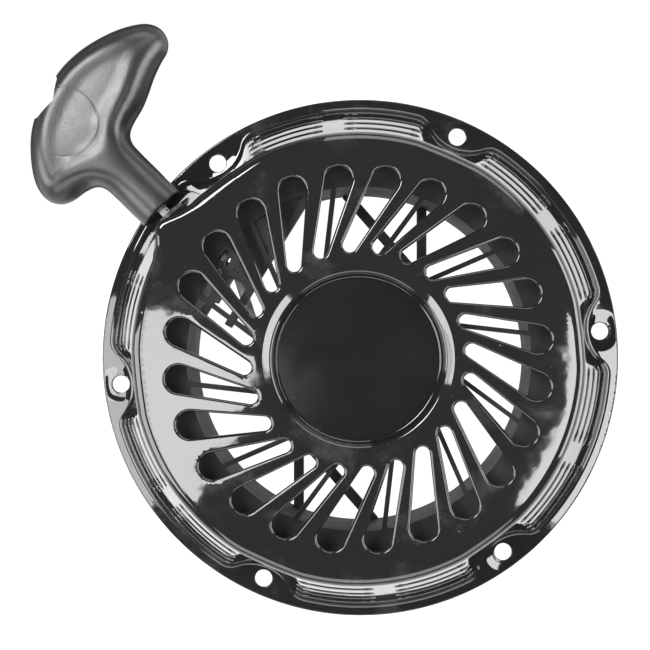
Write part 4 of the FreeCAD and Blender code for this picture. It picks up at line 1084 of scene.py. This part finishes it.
def close_stem(used, rim):
    """Rounds the stem's end off, and leads its face into the rope's bore."""
    quarter = [math.radians(a) for a in (22.5, 45, 67.5, 90)]
    rows = [(STEM_CUT * (1 - math.sin(a)), 1 - STEM_CUT * (1 - math.cos(a)) / STEM_RADIUS) for a in quarter]
    rows += [(0.0, 0.6), (0.0, 0.3), (0.35, BORE_RADIUS / STEM_RADIUS), (14.0, BORE_RADIUS / STEM_RADIUS)]
    edges = rim
    origin = {v: v.co.copy() for e in rim for v in e.verts}
    for along, share in rows:
        made = bmesh.ops.extrude_edge_only(used, edges=edges)
        edges = [e for e in made["geom"] if isinstance(e, bmesh.types.BMEdge)]
        new_verts = {v for e in edges for v in e.verts}
        following = {}
        for vert in new_verts:
            source = min(origin, key=lambda v: (v.co - vert.co).length_squared)
            following[vert] = origin[source]
        for vert, start in following.items():
            radius = math.hypot(start.y, start.z)
            # the stem's last rings are true circles
            round_share = min(1.0, (1 - share) * 2.5)
            reach = share * (radius + (STEM_RADIUS - radius) * round_share)
            vert.co = Vector((along, start.y / radius * reach, start.z / radius * reach))
        origin = following
    bmesh.ops.contextual_create(used, geom=edges)


def ring_quads(count, sides):
    """Faces between rings of points that follow each other."""
    ring = [(k, (k + 1) % sides) for k in range(sides)]
    lows = range(0, (count - 1) * sides, sides)
    return [(low + a, low + sides + a, low + sides + b, low + b) for low in lows for a, b in ring]


def lathe(name, profile, sides=96):
    """A closed solid turned about the rope's line from (along, radius) pairs."""
    rows = [np.column_stack((np.full(sides, a), circle_loop((0, 0), r, sides))) for a, r in profile]
    points = np.concatenate([along_rope(row) for row in rows])
    faces = ring_quads(len(profile), sides)
    faces += [tuple(range(sides)), tuple(range(len(points) - 1, len(points) - sides - 1, -1))]
    return solid_of(name, points, faces)


def notch_cutter():
    """A prism through the bar's whole thickness."""
    height = GRIP_HALF + 4
    rows = [along_rope([(a, c, up) for a, c in NOTCH]) for up in (-height, height)]
    count = len(NOTCH)
    faces = [tuple(range(count)), tuple(range(2 * count - 1, count - 1, -1))]
    faces += [(k, k + count, (k + 1) % count + count, (k + 1) % count) for k in range(count)]
    return solid_of("notch_cutter", np.concatenate(rows), faces)


def cut_away(obj, cutter):
    """Takes one solid out of another for good."""
    cut = obj.modifiers.new("cut", "BOOLEAN")
    cut.object = cutter
    cut.operation = "DIFFERENCE"
    cut.solver = "EXACT"
    bake_modifiers(obj)
    bpy.data.objects.remove(cutter)


# ---- rope

ROPE_RADIUS = 2.25
STRANDS = 8
LAY = 7.5
BRAID_DEPTH = 0.34
ROPE_JOIN, ROPE_BEND = 98.0, 91.5
ROPE_BEND_RADII = (14.0, 9.0)
TAKE_OFF_HEADING, TAKE_OFF_REACH = math.radians(287.8), 57.6
# how far the rope stops short of the knot's middle
KNOT_ROOM = 3.0


def braid(angle, travelled):
    """Height of a braid's surface, 0 to 1: strands that run both ways round and cross over and under."""
    turns = angle / (2 * math.pi) * STRANDS
    lean = travelled / LAY * STRANDS
    one, other = turns + lean, turns - lean
    ridge = 1 - (2 * (one % 1) - 1) ** 2
    groove = 1 - (2 * (other % 1) - 1) ** 2
    over = (np.floor(one) + np.floor(other)) % 2 == 0
    return np.where(over, ridge * (0.45 + 0.55 * groove), groove * (0.45 + 0.55 * ridge))


def braided_tube(name, path, sides=56, step=0.22):
    """A braided rope along a smooth line of points, closed at both ends. Millimetres."""
    path = np.asarray(path, float)
    lengths = np.concatenate(([0], np.cumsum(np.linalg.norm(np.diff(path, axis=0), axis=1))))
    at = np.linspace(0, lengths[-1], int(lengths[-1] / step) + 1)
    line = np.stack([np.interp(at, lengths, path[:, k]) for k in range(3)], 1)
    heading = unit(np.gradient(line, axis=0))
    side = unit(np.cross(heading, (0.0, 0.0, 1.0)))
    up = np.cross(side, heading)
    turn = np.linspace(0, 2 * math.pi, sides, endpoint=False)
    radius = ROPE_RADIUS - BRAID_DEPTH * (1 - braid(turn[None, :], at[:, None]))
    rows = (
        line[:, None] + side[:, None] * (radius * np.cos(turn))[:, :, None]
        + up[:, None] * (radius * np.sin(turn))[:, :, None]
    )
    count = len(at)
    verts = np.concatenate((rows.reshape(-1, 3), line[:1], line[-1:]))
    faces = ring_quads(count, sides)
    first, last, end = count * sides, count * sides + 1, (count - 1) * sides
    for a, b in ((k, (k + 1) % sides) for k in range(sides)):
        faces += [(first, b, a), (last, end + a, end + b)]
    rope = solid_of(name, verts, faces)
    rope.data.shade_smooth()
    return rope


def centre_of(node):
    """The middle of a CAD node, in millimetres."""
    low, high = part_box(node)
    return np.array((low + high) / 2) / MM


def smooth_path(points, radii, steps=14):
    """Straight runs joined by arcs."""
    points = [np.asarray(p, float).reshape(1, 3) for p in points]
    line = [points[0]]
    for before, corner, after, radius in zip(points, points[1:], points[2:], radii):
        line += fillet(corner, unit(corner - before), unit(after - corner), np.array([radius]), steps)
    return np.concatenate(line + [points[-1]])


# ---- making

add_camera()
add_studio()
made = paint_frame()

shell = make_cover()
smooth_shaded(shell)
wear_finish(shell, made["cover_paint"], "cover")
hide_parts("cover")

grip = make_grip()
smooth_shaded(grip)
wear_finish(grip, made["grip_plastic"], "handle")
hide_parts("handle_grip")

cap = lathe("cap_plug", CAP)
smooth_shaded(cap)
wear_finish(cap, made["grip_plastic"], "handle")
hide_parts("handle_cap")

# the rope's straight stretch goes from inside the cover to the grip's knot
knot = centre_of("rope_knot_handle")
stem_start = along_rope([(0, 0, 0)])[0]
rope_end = float((knot - stem_start) @ np.array(OUTWARD))
rope_ends = along_rope([(ROPE_JOIN - STEM_START, 0, 0), (rope_end - KNOT_ROOM, 0, 0)])
pulled = braided_tube("rope_pulled", rope_ends)
pulled.data.materials.append(made["rope_fibre"])
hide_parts("rope_outer")
start, end = along_rope([(ROPE_JOIN - STEM_START + 0.6, 0, 0), (-0.4, 0, 0)]) * MM
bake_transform(pulled)
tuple(start)
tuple(end)

# the way in: off the rope's line, through the eyelet, and on to the reel's groove
eyelet = centre_of("rope_eyelet")
take_off = eyelet + np.append(polar(TAKE_OFF_REACH, TAKE_OFF_HEADING), 0.0)
join, bend = along_rope([(ROPE_JOIN - STEM_START, 0, 0), (ROPE_BEND - STEM_START, 0, 0)])
lead = braided_tube("rope_lead", smooth_path([join, bend, eyelet, take_off], ROPE_BEND_RADII))
wear_finish(lead, made["rope_fibre"], "cover")
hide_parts("rope_inner")
